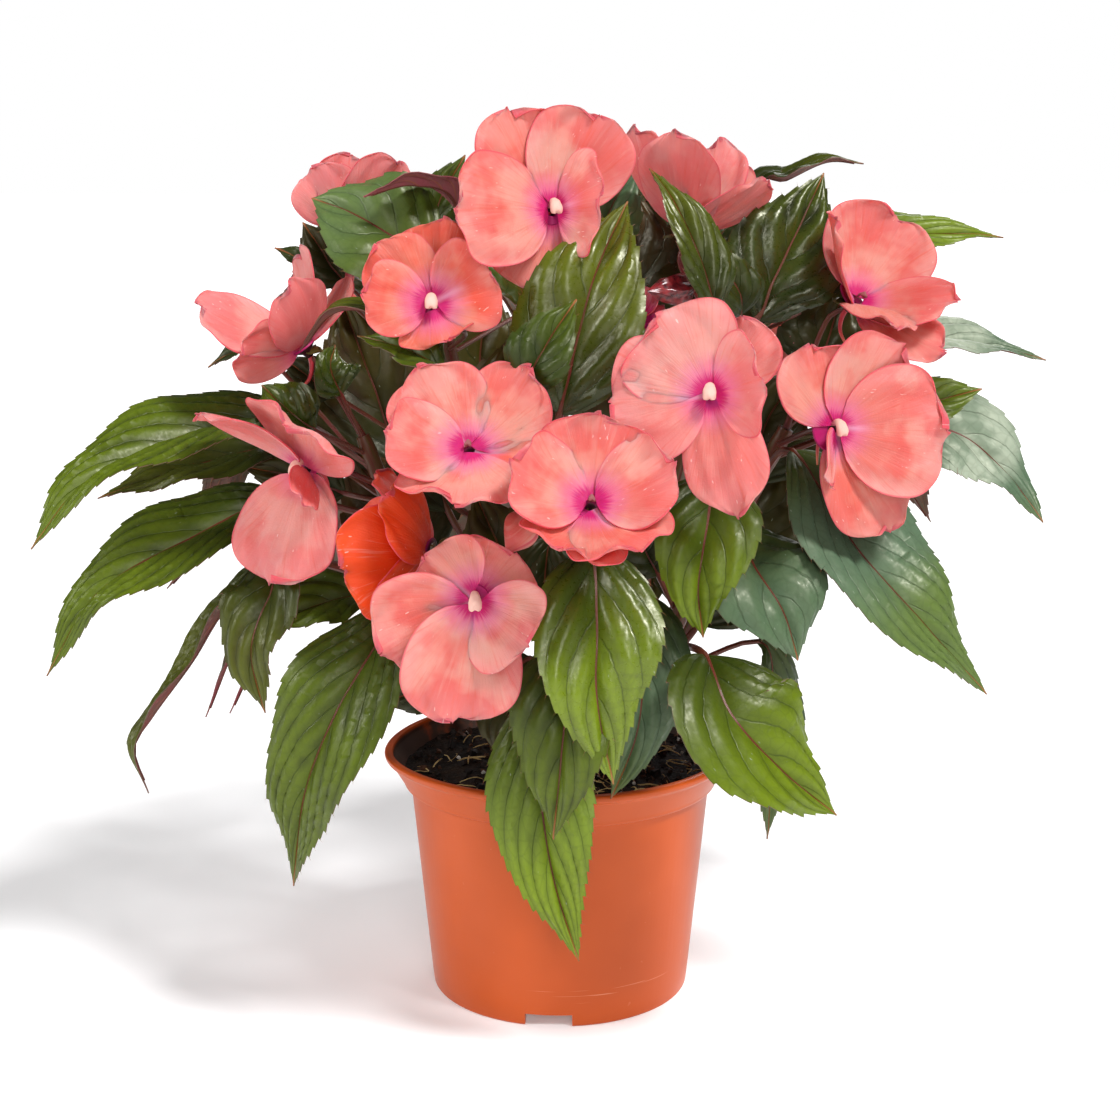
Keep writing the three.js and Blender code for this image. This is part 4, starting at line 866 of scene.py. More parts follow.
shoots = {
    "shoot_left": {"stem": [[-20, -4, 84], [-44, -8, 138], [-66, -10, 196]], "leaves": [
        ["green", 0.9, [[-90, -12, 202], [-121, -26, 199], [-150, -45, 187], [-166, -58, 167]], 36,
         [-0.35, -0.55, 0.75], 0.25],
        ["bronze", 0.81, [[-90, 10, 189], [-124, 6, 184], [-158, 0, 173]], 30, [-0.3, -0.5, 0.8], 0.25],
        ["green", 0.74, [[-92, -14, 175], [-122, -24, 164], [-151, -34, 148], [-169, -36, 120]], 36,
         [-0.45, -0.6, 0.65], 0.2],
        ["waxy", 0.97, [[-72, -18, 211], [-75, -20, 220], [-74, -16, 227]], 18, [0.6, -0.7, 0.1], 0.3],
        ["waxy", 0.94, [[-80, -24, 200], [-89, -25, 207], [-98, -18, 214]], 20, [-0.6, -0.5, 0.6], 0.3],
        ["dark", 0.86, [[-100, 4, 222], [-111, 6, 222], [-120, 8, 217]], 9, [-0.4, -0.5, 0.7], 0.3],
    ], "inner": [
        ["shade", 0.8, [[-74, 5, 174], [-89, 2, 180], [-108, 0, 184]], 24, [-0.2, -0.9, 0.3], 0.1],
    ]},
    "shoot_front_left": {"stem": [[-15, -21, 84], [-33, -36, 122], [-48, -46, 158]], "leaves": [
        ["bronze", 0.88, [[-85, -36, 159], [-94, -46, 148], [-99, -52, 132], [-95, -52, 112]], 28,
         [-0.5, -0.8, 0.3], 0.2],
        ["green", 0.74, [[-49, -58, 149], [-59, -70, 136], [-70, -78, 118], [-80, -76, 92], [-86, -62, 57]],
         38, [-0.45, -0.85, 0.3], 0.2],
        ["shade", 0.35, [[-38, -26, 116], [-48, -26, 112], [-60, -22, 107]], 16, [0, -0.9, 0.4], 0.2],
    ]},
    "shoot_front": {"stem": [[5, -25, 84], [8, -40, 128], [8, -58, 165]], "leaves": [
        ["olive", 0.5, [[-5, -68, 124], [-6, -78, 95], [-2, -80, 66], [6, -76, 37]], 32, [-0.1, -0.95, 0.3],
         0.2],
        ["green", 0.66, [[4, -76, 144], [2, -90, 127], [0, -94, 106], [-2, -88, 82]], 32, [-0.3, -0.9, 0.3],
         0.2],
        ["shade", 0.3, [[-10, -44, 128], [-16, -50, 112], [-18, -52, 94]], 28, [-0.1, -0.95, 0.3], 0.2],
        ["waxy", 0.95, [[10, -80, 171], [11, -96, 152], [11, -101, 130], [16, -98, 103]], 37,
         [0.1, -0.85, 0.5], 0.2],
        ["blue", 0.8, [[23, -50, 152], [26, -66, 133], [24, -70, 110], [16, -70, 89]], 30,
         [0.35, -0.85, 0.4], 0.2],
    ]},
    "shoot_front_right": {"stem": [[21, -15, 84], [36, -30, 128], [48, -42, 178]], "leaves": [
        ["fresh", 0.5, [[45, -71, 136], [52, -88, 122], [68, -88, 104], [86, -80, 87]], 44,
         [0.35, -0.75, 0.6], 0.2],
        ["blue", 0.35, [[66, -25, 129], [72, -22, 108], [72, -20, 83], [72, -12, 55]], 22, [0.5, -0.7, 0.4],
         0.2],
        ["blue", 0.8, [[56, -40, 168], [62, -56, 160], [70, -64, 148], [75, -62, 132]], 46,
         [0.3, -0.85, 0.4], 0.15],
        ["fresh", 0.95, [[48, -58, 189], [44, -76, 173], [42, -80, 159], [44, -76, 143]], 32,
         [-0.05, -0.9, 0.4], 0.2],
        ["shade", 0.4, [[46, -22, 134], [52, -20, 150], [58, -16, 166]], 38, [0, -0.9, 0.4], 0.2],
        ["shade", 0.6, [[32, -36, 154], [27, -40, 164], [22, -42, 176]], 24, [0, -0.9, 0.3], 0.2],
    ]},
    "shoot_right": {"stem": [[25, 4, 84], [50, 0, 142], [76, -6, 198]], "leaves": [
        ["sheen", 0.82, [[76, -24, 193], [95, -40, 165], [114, -50, 144], [139, -44, 116]], 48,
         [0.45, -0.65, 0.6], 0.2],
        ["silverSheen", 0.91, [[110, 0, 201], [126, 4, 198], [141, 6, 192], [155, 4, 179], [165, -2, 165]], 36,
         [0.5, -0.7, 0.5], 0.15],
        ["lime", 0.96, [[112, -10, 202], [124, -14, 208], [140, -12, 212]], 18, [0.2, -0.8, 0.6], 0.2],
        ["silverSheen", 1, [[104, 4, 221], [120, 14, 225], [135, 20, 225], [153, 24, 222], [169, 22, 218]], 24,
         [0.1, -0.45, 0.9], 0.3],
        ["green", 0.6, [[78, 18, 158], [104, 22, 142], [122, 24, 116]], 30, [0.5, 0.1, 0.85], 0.2],
        ["shade", 0.75, [[66, 12, 176], [72, 16, 198], [84, 16, 214]], 44, [0, -0.9, 0.4], 0.2],
        ["shade", 0.95, [[88, 14, 212], [93, 20, 226], [98, 24, 242]], 34, [0, -0.9, 0.4], 0.2],
        ["shade", 0.5, [[58, 14, 150], [68, 18, 166], [76, 20, 188]], 42, [0, -0.9, 0.4], 0.2],
    ]},
    "shoot_upper_left": {"stem": [[-10, 8, 84], [-25, 6, 162], [-40, -8, 238]], "leaves": [
        ["crisp", 0.97, [[-43, -15, 254], [-56, -14, 263], [-69, -10, 270], [-82, -2, 274]], 42,
         [-0.1, -0.75, 0.65], 0.15],
        ["wine", 0.94, [[-34, -8, 271], [-47, -18, 279], [-63, -22, 275]], 14, [0.1, 0.3, 0.9], 0.3],
        ["green", 1, [[-42, 10, 258], [-41, 14, 272], [-32, 16, 288]], 18, [0.1, -0.8, 0.5], 0.2],
        ["bronze", 0.91, [[-30, -45, 234], [-47, -48, 238], [-69, -46, 241], [-83, -35, 227]], 16,
         [-0.2, -0.2, 0.95], 0.3],
        ["lime", 0.87, [[-34, -58, 223], [-48, -58, 230], [-63, -50, 233]], 16, [-0.2, -0.4, 0.9], 0.3],
        ["wine", 0.83, [[-72, 4, 246], [-80, 4, 257], [-86, 4, 266]], 20, [0, -0.9, 0.2], 0.2],
        ["dark", 0.79, [[-82, 12, 248], [-90, 13, 254], [-97, 14, 257]], 9, [-0.3, -0.6, 0.7], 0.3],
        ["shade", 0.74, [[-58, 30, 236], [-78, 46, 246], [-104, 58, 236]], 36, [-0.4, 0.3, 0.9], 0.2],
        ["shade", 0.35, [[-38, -6, 170], [-43, -2, 196], [-49, 4, 216]], 33, [0.1, -0.9, 0.4], 0.2],
        ["shade", 0.5, [[-54, 24, 180], [-66, 32, 208], [-78, 38, 240]], 48, [0, -0.9, 0.3], 0.2],
        ["wine", 0.3, [[-46, 14, 146], [-60, 20, 168], [-76, 24, 188]], 44, [0.1, -0.9, 0.3], 0.2],
        ["shade", 0.6, [[-22, 22, 192], [-28, 26, 216], [-24, 30, 244]], 44, [0.1, -0.9, 0.3], 0.2],
    ], "inner": [
        ["shade", 0.6, [[-79, 22, 206], [-88, 20, 213], [-96, 20, 219]], 18, [-0.3, -0.8, 0.4], 0.1],
        ["shade", 0.9, [[30, 40, 259], [27, 42, 272], [26, 46, 284]], 17, [0.1, -0.9, 0.3], 0.1],
    ]},
    "shoot_centre": {"stem": [[2, -2, 84], [1, -20, 150], [0, -40, 212]], "leaves": [
        ["polished", 0.96, [[0, -60, 210], [7, -62, 240], [12, -58, 256], [21, -42, 274]], 40,
         [-0.2, -0.9, 0.2], 0.15],
        ["green", 0.92, [[-9, -72, 220], [-4, -76, 233], [5, -72, 246]], 20, [-0.2, -0.9, 0.3], 0.2],
        ["blue", 1, [[12, 6, 256], [18, 12, 272], [26, 18, 284]], 24, [-0.1, -0.9, 0.3], 0.15],
        ["shade", 0.85, [[-16, -44, 190], [-18, -46, 212], [-16, -40, 232]], 34, [-0.1, -0.9, 0.3], 0.2],
        ["wine", 0.8, [[18, -32, 188], [22, -32, 217], [19, -26, 242]], 34, [0.1, -0.9, 0.3], 0.2],
        ["shade", 0.5, [[-12, -26, 146], [-20, -28, 162], [-28, -28, 180]], 34, [0, -0.9, 0.4], 0.2],
        ["shade", 0.4, [[-3, -36, 164], [-5, -42, 152], [-5, -44, 133]], 18, [0, -0.9, 0.3], 0.2],
    ], "inner": [
        ["shade", 0.6, [[33, 20, 153], [32, 16, 141], [31, 14, 130]], 17, [0.1, -0.9, 0.3], 0.1],
    ]},
    "shoot_upper_right": {"stem": [[13, 15, 84], [34, 12, 160], [54, 0, 230]], "leaves": [
        ["lime", 0.88, [[94, 8, 253], [112, 22, 260], [126, 28, 261], [141, 30, 261], [153, 25, 260]], 20,
         [0.1, -0.65, 0.75], 0.25],
        ["glass", 0.96, [[66, 0, 234], [71, 0, 246], [81, 6, 266], [89, 14, 282]], 38, [0.1, -0.95, 0.2],
         0.05],
        ["bronze", 0.92, [[66, 25, 275], [78, 28, 280], [92, 28, 286], [104, 25, 285]], 16,
         [-0.1, -0.15, 0.98], 0.3],
        ["polished", 1, [[49, -42, 240], [44, -45, 256], [36, -42, 273], [28, -35, 284]], 18,
         [0.5, -0.8, 0.2], 0.35],
        ["bronze", 0.84, [[58, -28, 238], [54, -33, 251], [49, -34, 261]], 16, [0.5, -0.8, 0.2], 0.3],
        ["green", 0.8, [[52, 36, 250], [64, 54, 264], [84, 72, 260]], 34, [0.2, 0.4, 0.9], 0.2],
        ["shade", 0.75, [[46, 14, 222], [54, 18, 242], [64, 20, 258]], 42, [0, -0.9, 0.4], 0.2],
        ["wine", 0.85, [[31, 22, 232], [27, 28, 251], [25, 34, 276]], 40, [0, -0.9, 0.3], 0.2],
    ], "inner": [
        ["shade", 0.95, [[88, 25, 236], [94, 25, 241], [100, 26, 248]], 18, [0.1, -0.9, 0.3], 0.1],
    ]},
    "shoot_back_left": {"stem": [[-16, 21, 84], [-40, 38, 128], [-62, 50, 172]], "leaves": [
        ["bronze", 0.6,
         [[-98, 25, 146], [-118, 18, 132], [-131, 14, 112], [-145, 10, 93], [-151, 6, 82], [-146, 5, 66]],
         24, [-0.75, -0.15, 0.65], 0.25],
        ["wine", 0.5, [[-92, 45, 138], [-117, 52, 116], [-133, 50, 81]], 14, [-0.75, -0.1, 0.6], 0.25],
        ["wine", 0.4, [[-82, 55, 130], [-110, 64, 108], [-126, 62, 79]], 12, [-0.7, 0.1, 0.6], 0.25],
        ["lime", 0.45, [[-68, 30, 132], [-86, 26, 130], [-106, 20, 122]], 26, [-0.3, -0.6, 0.7], 0.25],
        ["green", 0.95, [[-86, 46, 190], [-116, 70, 184], [-136, 92, 142]], 36, [-0.5, 0.3, 0.8], 0.2],
        ["fresh", 0.77, [[-72, 66, 164], [-86, 92, 148], [-94, 114, 106]], 36, [-0.45, 0.6, 0.6], 0.2],
        ["dark", 0.86, [[-92, 40, 168], [-124, 48, 152], [-146, 52, 130]], 34, [-0.6, 0.2, 0.8], 0.2],
    ]},
    "shoot_back": {"stem": [[2, 27, 84], [0, 50, 134], [0, 66, 196]], "leaves": [
        ["fresh", 0.6, [[-20, 84, 160], [-32, 109, 146], [-42, 129, 104]], 38, [-0.3, 0.8, 0.5], 0.2],
        ["dark", 0.45, [[4, 88, 146], [10, 112, 128], [12, 124, 84]], 34, [0.1, 0.85, 0.5], 0.2],
        ["green", 0.7, [[30, 86, 172], [42, 108, 158], [52, 128, 116]], 36, [0.3, 0.8, 0.5], 0.2],
        ["blue", 0.8, [[14, 84, 204], [26, 106, 204], [36, 126, 184]], 32, [0.2, 0.65, 0.75], 0.2],
        ["green", 1, [[-14, 70, 226], [-26, 80, 242], [-40, 92, 248]], 32, [-0.1, 0.3, 0.9], 0.2],
    ]},
    "shoot_back_right": {"stem": [[21, 21, 84], [46, 42, 132], [66, 54, 184]], "leaves": [
        ["green", 0.88, [[88, 50, 192], [116, 66, 186], [142, 80, 150]], 36, [0.5, 0.4, 0.8], 0.2],
        ["fresh", 0.7, [[76, 66, 164], [92, 88, 152], [102, 108, 120]], 36, [0.5, 0.6, 0.6], 0.2],
        ["dark", 0.6, [[90, 50, 156], [120, 56, 144], [142, 62, 116]], 34, [0.6, 0.3, 0.75], 0.2],
        ["fresh", 1, [[62, 46, 218], [78, 50, 238], [100, 58, 240]], 32, [0.2, 0.3, 0.9], 0.2],
    ]},
}

# A bloom has its shoot and how far up it grows, its throat, the way it faces and its petals. A petal is its
# tip, width, bow, peak and, where it has its own, the way its face looks. The tone is salmon where none is
# given. A hidden cap is small and shaded, and a wide collar closes the gaps between petals round an eye.

blooms = {
    "bloom_top": {"shoot": "shoot_centre", "from": 1, "throat": [-2, -50, 272],
        "face": [0.3, -0.9, 0.3], "petals": [
        [[-16, -48, 303], 32, -1, -0.03],
        [[13, -45, 302], 34, -2, -0.04],
        [[-32, -68, 273], 36, 1, 0],
        [[13, -61, 276], 34, 0, 0],
        [[-8, -52, 247], 34, 0, 0.02],
    ]},
    "bloom_upper_left": {"shoot": "shoot_upper_left", "from": 0.95, "throat": [-39, -62, 244],
        "face": [0, -0.95, 0.3], "tone": "coral", "petals": [
        [[-36, -52, 269], 28, -1, 0.02],
        [[-56, -58, 262], 24, -1, 0],
        [[-59, -71, 248], 24, -2, 0],
        [[-20, -64, 254], 30, -1, 0],
        [[-34, -66, 233], 28, 0, 0],
    ]},
    "bloom_far_left": {"shoot": "shoot_upper_left", "from": 1, "throat": [-73, 14, 266],
        "face": [-0.2, 0.75, 0.6], "tone": "pale", "petals": [
        [[-83, 8, 284], 24, -1, 0],
        [[-70, 14, 289], 24, 0, -0.03],
        [[-53, 8, 287], 25, -1, 0],
        [[-85, 38, 277], 24, -2, 0],
        [[-64, 32, 270], 24, -1, 0],
    ]},
    "bloom_left": {"shoot": "shoot_left", "from": 1, "throat": [-85, -22, 229],
        "face": [-0.55, -0.15, 0.8], "tone": "light", "petals": [
        [[-117, -30, 242], 28, -2, 0, [-0.1, -0.5, 0.85]],
        [[-103, -40, 226], 23, -1, 0, [-0.3, -0.85, -0.2]],
        [[-85, -44, 249], 24, -3, 0],
        [[-86, -10, 259], 13, -3, 0],
        [[-69, -8, 251], 22, -2, 0],
    ]},
    "bloom_low_left": {"shoot": "shoot_left", "from": 0.85, "throat": [-82, -48, 191],
        "face": [-0.6, -0.75, 0.1], "tone": "light", "petals": [
        [[-91, -56, 155], 38, 2, 0, [-0.45, -0.88, 0]],
        [[-82, -75, 210], 40, -4, 0, [-0.55, -0.28, -0.78]],
        [[-113, -57, 209], 24, -4, 0, [-0.35, -0.38, -0.85]],
        [[-79, -70, 184], 14, 0, 0, [-0.6, -0.3, -0.6]],
        [[-75, -52, 166], 22, 0, 0, [-0.7, -0.7, 0]],
    ]},
    "bloom_low_middle": {"shoot": "shoot_front_left", "from": 1, "throat": [-42, -74, 170],
        "face": [-0.88, 0.35, 0.1], "tone": "deep", "capHidden": True, "petals": [
        [[-66, -92, 168], 36, 3, 0, [0.55, -0.83, 0]],
        [[-52, -92, 190], 26, 2, 0, [0.8, -0.5, 0.3]],
        [[-56, -64, 193], 28, -2, 0],
        [[-66, -60, 172], 28, -2, 0],
        [[-52, -84, 150], 26, 2, 0, [0.7, -0.7, -0.2]],
    ]},
    "bloom_low_front": {"shoot": "shoot_front_left", "from": 0.95, "throat": [-25, -100, 160],
        "face": [0.05, -0.97, -0.05], "petals": [
        [[-40, -98, 173], 28, 0, 0],
        [[-13, -94, 173], 28, -1, 0],
        [[-9, -108, 148], 31, 0, 0],
        [[-53, -100, 144], 36, -1, 0],
        [[-32, -104, 123], 36, 1, 0],
    ]},
    "bloom_middle_left": {"shoot": "shoot_centre", "from": 0.9, "throat": [-27, -88, 204],
        "face": [-0.1, -0.72, 0.7], "capHidden": True, "petals": [
        [[-43, -76, 226], 32, -2, 0],
        [[-8, -80, 226], 30, -2, 0],
        [[-4, -94, 203], 26, 0, 0],
        [[-51, -95, 211], 30, -3, 0],
        [[-31, -111, 192], 38, -2, 0],
    ]},
    "bloom_middle": {"shoot": "shoot_front", "from": 1, "throat": [9, -108, 191],
        "face": [0.05, -0.7, 0.72], "capHidden": True, "petals": [
        [[12, -98, 215], 36, -3, 0],
        [[-13, -114, 205], 32, -2, 0],
        [[32, -114, 204], 32, -2, 0],
        [[1, -129, 181], 32, -3, 0],
        [[22, -130, 182], 32, -2, 0],
    ]},
    "bloom_large": {"shoot": "shoot_front_right", "from": 1, "throat": [44, -90, 220],
        "face": [-0.15, -0.95, 0.22], "tone": "rose", "petals": [
        [[14, -88, 217], 38, 0, 0],
        [[28, -86, 242], 38, 0, 0],
        [[53, -86, 243], 32, -2, 0],
        [[58, -102, 226], 32, -1, 0],
        [[52, -94, 186], 25, 2, 0.12],
    ]},
    "bloom_right": {"shoot": "shoot_right", "from": 0.95, "throat": [86, -58, 205],
        "face": [0.4, -0.9, 0.15], "collar": 7.4, "petals": [
        [[77, -56, 231], 31, 0, 0],
        [[107, -48, 230], 32, -1, 0],
        [[122, -50, 203], 42, 2, 0],
        [[105, -52, 171], 31, 1, 0.03],
        [[82, -74, 190], 18, -1, 0, [0.9, -0.3, 0]],
    ]},
    "bloom_upper_right": {"shoot": "shoot_right", "from": 1, "throat": [99, -12, 242],
        "face": [0.72, -0.35, 0.6], "collar": 7.6, "capHidden": True, "petals": [
        [[87, -30, 269], 24, -2, 0],
        [[112, -4, 271], 40, -2, -0.03, [0.3, -0.8, 0.5]],
        [[107, -39, 235], 24, 2, 0, [0.3, -0.35, 0.9]],
        [[128, -26, 243], 26, -1, 0, [0.4, -0.6, 0.6]],
        [[124, -28, 226], 22, -1, 0.05, [0.4, -0.8, 0.4]],
    ]},
    "bloom_far_right": {"shoot": "shoot_upper_right", "from": 1, "throat": [43, 4, 266],
        "face": [0.15, 0.15, 0.95], "tone": "light", "petals": [
        [[25, -6, 298], 28, -3, 0],
        [[37, -22, 296], 28, -3, 0],
        [[54, 20, 293], 28, -3, 0],
        [[68, -8, 280], 26, -2, 0],
        [[60, 26, 287], 26, -2, 0],
    ]},
    "bloom_behind": {"shoot": "shoot_upper_right", "from": 0.95, "throat": [24, -42, 238],
        "face": [-0.4, -0.6, 0.6], "petals": [
        [[18, -46, 246], 12, -1, 0],
        [[26, -38, 248], 12, -1, 0],
        [[16, -52, 234], 12, -1, 0],
        [[33, -38, 241], 12, -1, 0],
        [[28, -50, 230], 12, -1, 0],
    ]},
    "bloom_back_left": {"shoot": "shoot_back_left", "from": 1, "throat": [-62, 92, 222],
        "face": [-0.4, 0.75, 0.5], "open": {"size": 27, "lift": 12, "turn": 8}},
    "bloom_back_top": {"shoot": "shoot_back", "from": 1, "throat": [6, 92, 240],
        "face": [0, 0.6, 0.8], "tone": "coral", "open": {"size": 26, "lift": 18, "turn": -20}},
    "bloom_back_right": {"shoot": "shoot_back_right", "from": 1, "throat": [74, 92, 216],
        "face": [0.5, 0.75, 0.4], "open": {"size": 28, "lift": 10, "turn": 25}},
}

buds = {
    "bud_pink": {
        "shoot": "shoot_front", "from": 0.98, "foot": [-8, -84, 184], "tip": [-16, -90, 172], "width": 11,
        "wilted": False, "folds": 3, "foldDepth": 0.10, "twist": 5.0,
    },
    "bud_wilted": {
        "shoot": "shoot_upper_right", "from": 0.98, "foot": [43, -38, 247], "tip": [27, -52, 247],
        "width": 9, "wilted": True, "folds": 5, "foldDepth": 0.16, "twist": 3.0,
    },
}

leafShape = {
    "toothEvery": 4.6, "toothDepth": 0.8, "toothSteps": (0, 0.4, 0.78, 0.97),
    "toothRise": (0.05, 0.45, 0.9, 1.0),
    "quilt": 1.2, "veinEvery": 15.0, "groove": 0.5, "grooveHalf": 1.3, "arch": 0.07, "edgeWave": 1.4,
    "waves": 2.6, "thick": 0.5, "fullWidth": 30, "petiole": 1.25, "stalkRings": 7, "ribRings": 22,
    "bristle": 0.11, "bristleReach": 1.5, "seed": 100,
    "halfColumns": (0.035, 0.09, 0.17, 0.26, 0.35, 0.44, 0.53, 0.62, 0.71, 0.8, 0.88, 0.95, 1),
}
shinyShape = {"quilt": 1.3, "veinEvery": 1.2}  # times those of the other leaves
leafTones = {  # freshness, painted bluish sheen, redness
    "green": (0.3, 0.05, 0.05), "fresh": (0.75, 0.0, 0.0), "dark": (0.0, 0.0, 0.25),
    "shade": (0.0, 0.0, 0.6), "blue": (0.15, 0.55, 0.0), "silverSheen": (0.3, 1.0, 0.0), "lime": (1.0, 0.1, 0.0),
    "wine": (0.05, 0.0, 0.85), "bronze": (0.3, 0.0, 0.35), "waxy": (0.85, 0.0, 0.0),
    "glass": (0.0, 0.1, 0.15), "polished": (0.5, 0.0, 0.35), "crisp": (0.85, 0.4, 0.0),
    "olive": (1.0, 0.15, 0.0), "sheen": (0.6, 0.7, 0.0),
}
shinyTones = {"waxy", "glass", "polished"}
leafSlots = {"upper": 0, "under": 1, "stalk": 2, "shiny": 3}  # in the order of leafFinishes


def clipped(value, low=0.0, high=1.0):
    return np.clip(value, low, high)


def leafOutline(s):
    # half the blade's width as a share of half its greatest, from foot to tip
    return np.sin(math.pi * s**0.75) * (1 - 0.45 * s**2) * 1.1


def bristleParts(rows, heading, side, teeth, size, random):
    # a stiff hair on each tooth: three sides that run out to a point
    tips = np.arange(teeth) * 4 + 3
    points = []
    for column, sign in ((0, -1), (-1, 1)):
        for k in tips[1:-1]:
            away = unit(sign * side[k] * random.uniform(0.3, 0.8) + heading[k] * random.uniform(0.4, 0.9))
            across = np.cross(away, heading[k])
            thick = leafShape["bristle"] * random.uniform(0.7, 1.2)
            root = rows[k, column] - away * 0.3
            reach = leafShape["bristleReach"] * size * random.uniform(0.5, 1.2)
            points += [root + across * thick, root - across * thick,
                       root + np.cross(away, unit(across)) * thick, rows[k, column] + away * reach]
    points = np.array(points)
    first = np.arange(len(points) // 4)[:, None, None] * 4
    faces = (first + np.array([(0, 2, 1), (0, 1, 3), (1, 2, 3), (2, 0, 3)])).reshape(-1, 3)
    flat = np.zeros((len(points), 2))
    return part(points, [faces], [leafSlots["under"]], flat, flat, (0, 0, 0, 0.5))


def toothedRows(teeth, size, random):
    # the places of the rows along a blade, four to each tooth, and how far the edge stands out at each
    shape = leafShape
    s = np.concatenate([(np.arange(teeth)[:, None] + shape["toothSteps"]).ravel(), [teeth]]) / teeth
    tooth = np.concatenate([np.tile(shape["toothRise"], teeth), [0.0]])
    tooth *= np.repeat(random.uniform(0.5, 1.25, teeth + 1), 4)[:len(s)] * clipped((s - 0.06) / 0.12)
    return s, tooth * clipped((0.99 - s) / 0.1) * size * shape["toothDepth"]


def bladeRise(s, c, half, bladeLength, fold, isShiny, chance, size):
    # how high each point of the blade stands over its middle line, and where it lies between side veins
    shape = leafShape
    t = np.abs(c)
    veinPairs = max(4.0, bladeLength / (shape["veinEvery"] * (shinyShape["veinEvery"] if isShiny else 1.0)))
    q = (s - 0.36 * t - 0.16 * t**2) * veinPairs + 0.35 * (c > 0) + chance
    window = clipped(t / 0.22) * clipped((1 - t) / 0.25) * clipped(s / 0.1)
    window = window * clipped((1 - s) / 0.12) * clipped(half / 12, 0.15)
    quilt = shape["quilt"] * (shinyShape["quilt"] if isShiny else 1.0)
    bulge = quilt * np.sin(math.pi * q) ** 2 * window
    waves = shape["edgeWave"] * t**2 * np.sin(2 * math.pi * (s * shape["waves"] + 0.3 * np.sign(c) + chance))
    arch = shape["arch"] * half * np.sin(math.pi * t)
    dip = shape["groove"] * np.exp(-((c * half / shape["grooveHalf"]) ** 2)) * clipped(half / 6)
    return fold * half * t + arch + bulge + waves * size * clipped(s * (1 - s) * 5) - dip, q


def leafParts(foot, leaf, random):
    # a leaf stalk that runs on as the midrib, and the blade on it
    shape = leafShape
    tone, _, line, width, face, fold = leaf
    isShiny = tone in shinyTones
    tint = (*leafTones[tone], random.random())
    path, lengths = smoothLine([foot, *line])
    stalkShare = lengths[spanSteps] / lengths[-1]
    bladeLength = lengths[-1] * (1 - stalkShare)
    size = min(1.0, width / shape["fullWidth"])
    teeth = max(6, round(bladeLength / shape["toothEvery"]))
    s, tooth = toothedRows(teeth, size, random)
    half = np.maximum(width / 2 * leafOutline(s), np.where(s < 0.5, 1.0 - s, 0.22))[:, None]
    middle = along(path, lengths, stalkShare + (1 - stalkShare) * s)
    heading = unit(np.gradient(middle, axis=0))
    side = unit(np.cross(heading, unit(np.array(face, float))))
    up = unit(np.cross(side, heading))
    right = np.array(shape["halfColumns"])
    c = np.concatenate([-right[::-1], [0], right])[None, :]
    rise, q = bladeRise(s[:, None], c, half, bladeLength, fold, isShiny, tint[3], size)
    outer = np.where(np.abs(c) == 1, 1.0, 0.0) * tooth[:, None]
    rows = (middle[:, None, :] + side[:, None, :] * (c * half + np.sign(c) * outer)[..., None]
            + up[:, None, :] * rise[..., None] + heading[:, None, :] * (outer * 0.7)[..., None])
    thick = shape["thick"] * (1 - 0.5 * c**2) * np.ones_like(half)
    blade = uvGrid(c * half / 100, s[:, None] * bladeLength / 100)
    upper = thinBlade(rows, thick, blade, uvGrid(q, np.abs(c)), tint,
                      (leafSlots["shiny" if isShiny else "upper"], leafSlots["under"]))
    shares = np.concatenate([np.linspace(0, stalkShare, shape["stalkRings"], endpoint=False),
                             np.linspace(stalkShare, 0.97, shape["ribRings"])])
    onBlade = clipped((shares - stalkShare) / (1 - stalkShare))
    radius = shape["petiole"] * max(size, 0.6) * (1 - 0.72 * onBlade**0.6)
    # on the blade the rib sinks under it, and only its back stands out
    lower = np.stack([np.interp(onBlade, s, up[:, k]) for k in range(3)], axis=1)
    drop = clipped(onBlade / 0.08) * (0.35 * radius + 0.35)
    rib = along(path, lengths, shares) - lower * drop[:, None]
    redness = 0.3 if tone == "lime" else 0.75
    midrib = tube(rib, radius, 7, leafSlots["stalk"], (redness, 0, 0, tint[3]))
    return [upper, midrib, bristleParts(rows, heading, side, teeth, size, random)]


stemShape = {"foot": 3.3, "top": 2.1, "sides": 12, "steps": 48, "knuckle": 0.5, "knuckleHalf": 0.025,
             "crownDepth": 14, "redness": 0.6}
pedicelShape = {"radius": 1.0, "run": 9.0, "sides": 8, "rings": 16, "redness": 0.85}
throat = {"radius": 2.0, "inner": 1.3, "depth": 6.5, "mouth": -2.2, "collar": 4.4, "sides": 20}


def pedicel(start, end, arrival):
    before = end - arrival * pedicelShape["run"]
    path, lengths = smoothLine([start, before, end])
    shares = np.linspace(0, 1, pedicelShape["rings"])
    radius = pedicelShape["radius"] * (1 + 0.35 * (1 - shares) ** 4 - 0.15 * shares)
    return tube(along(path, lengths, shares), radius, pedicelShape["sides"], leafSlots["stalk"],
                (pedicelShape["redness"], 0, 0, 0.5))


def bloomAxes(face):
    # right, up and out of a bloom that faces this way
    out = unit(np.array(face, float))
    right = unit(np.cross([0, 0, 1], out))
    return right, np.cross(out, right), out


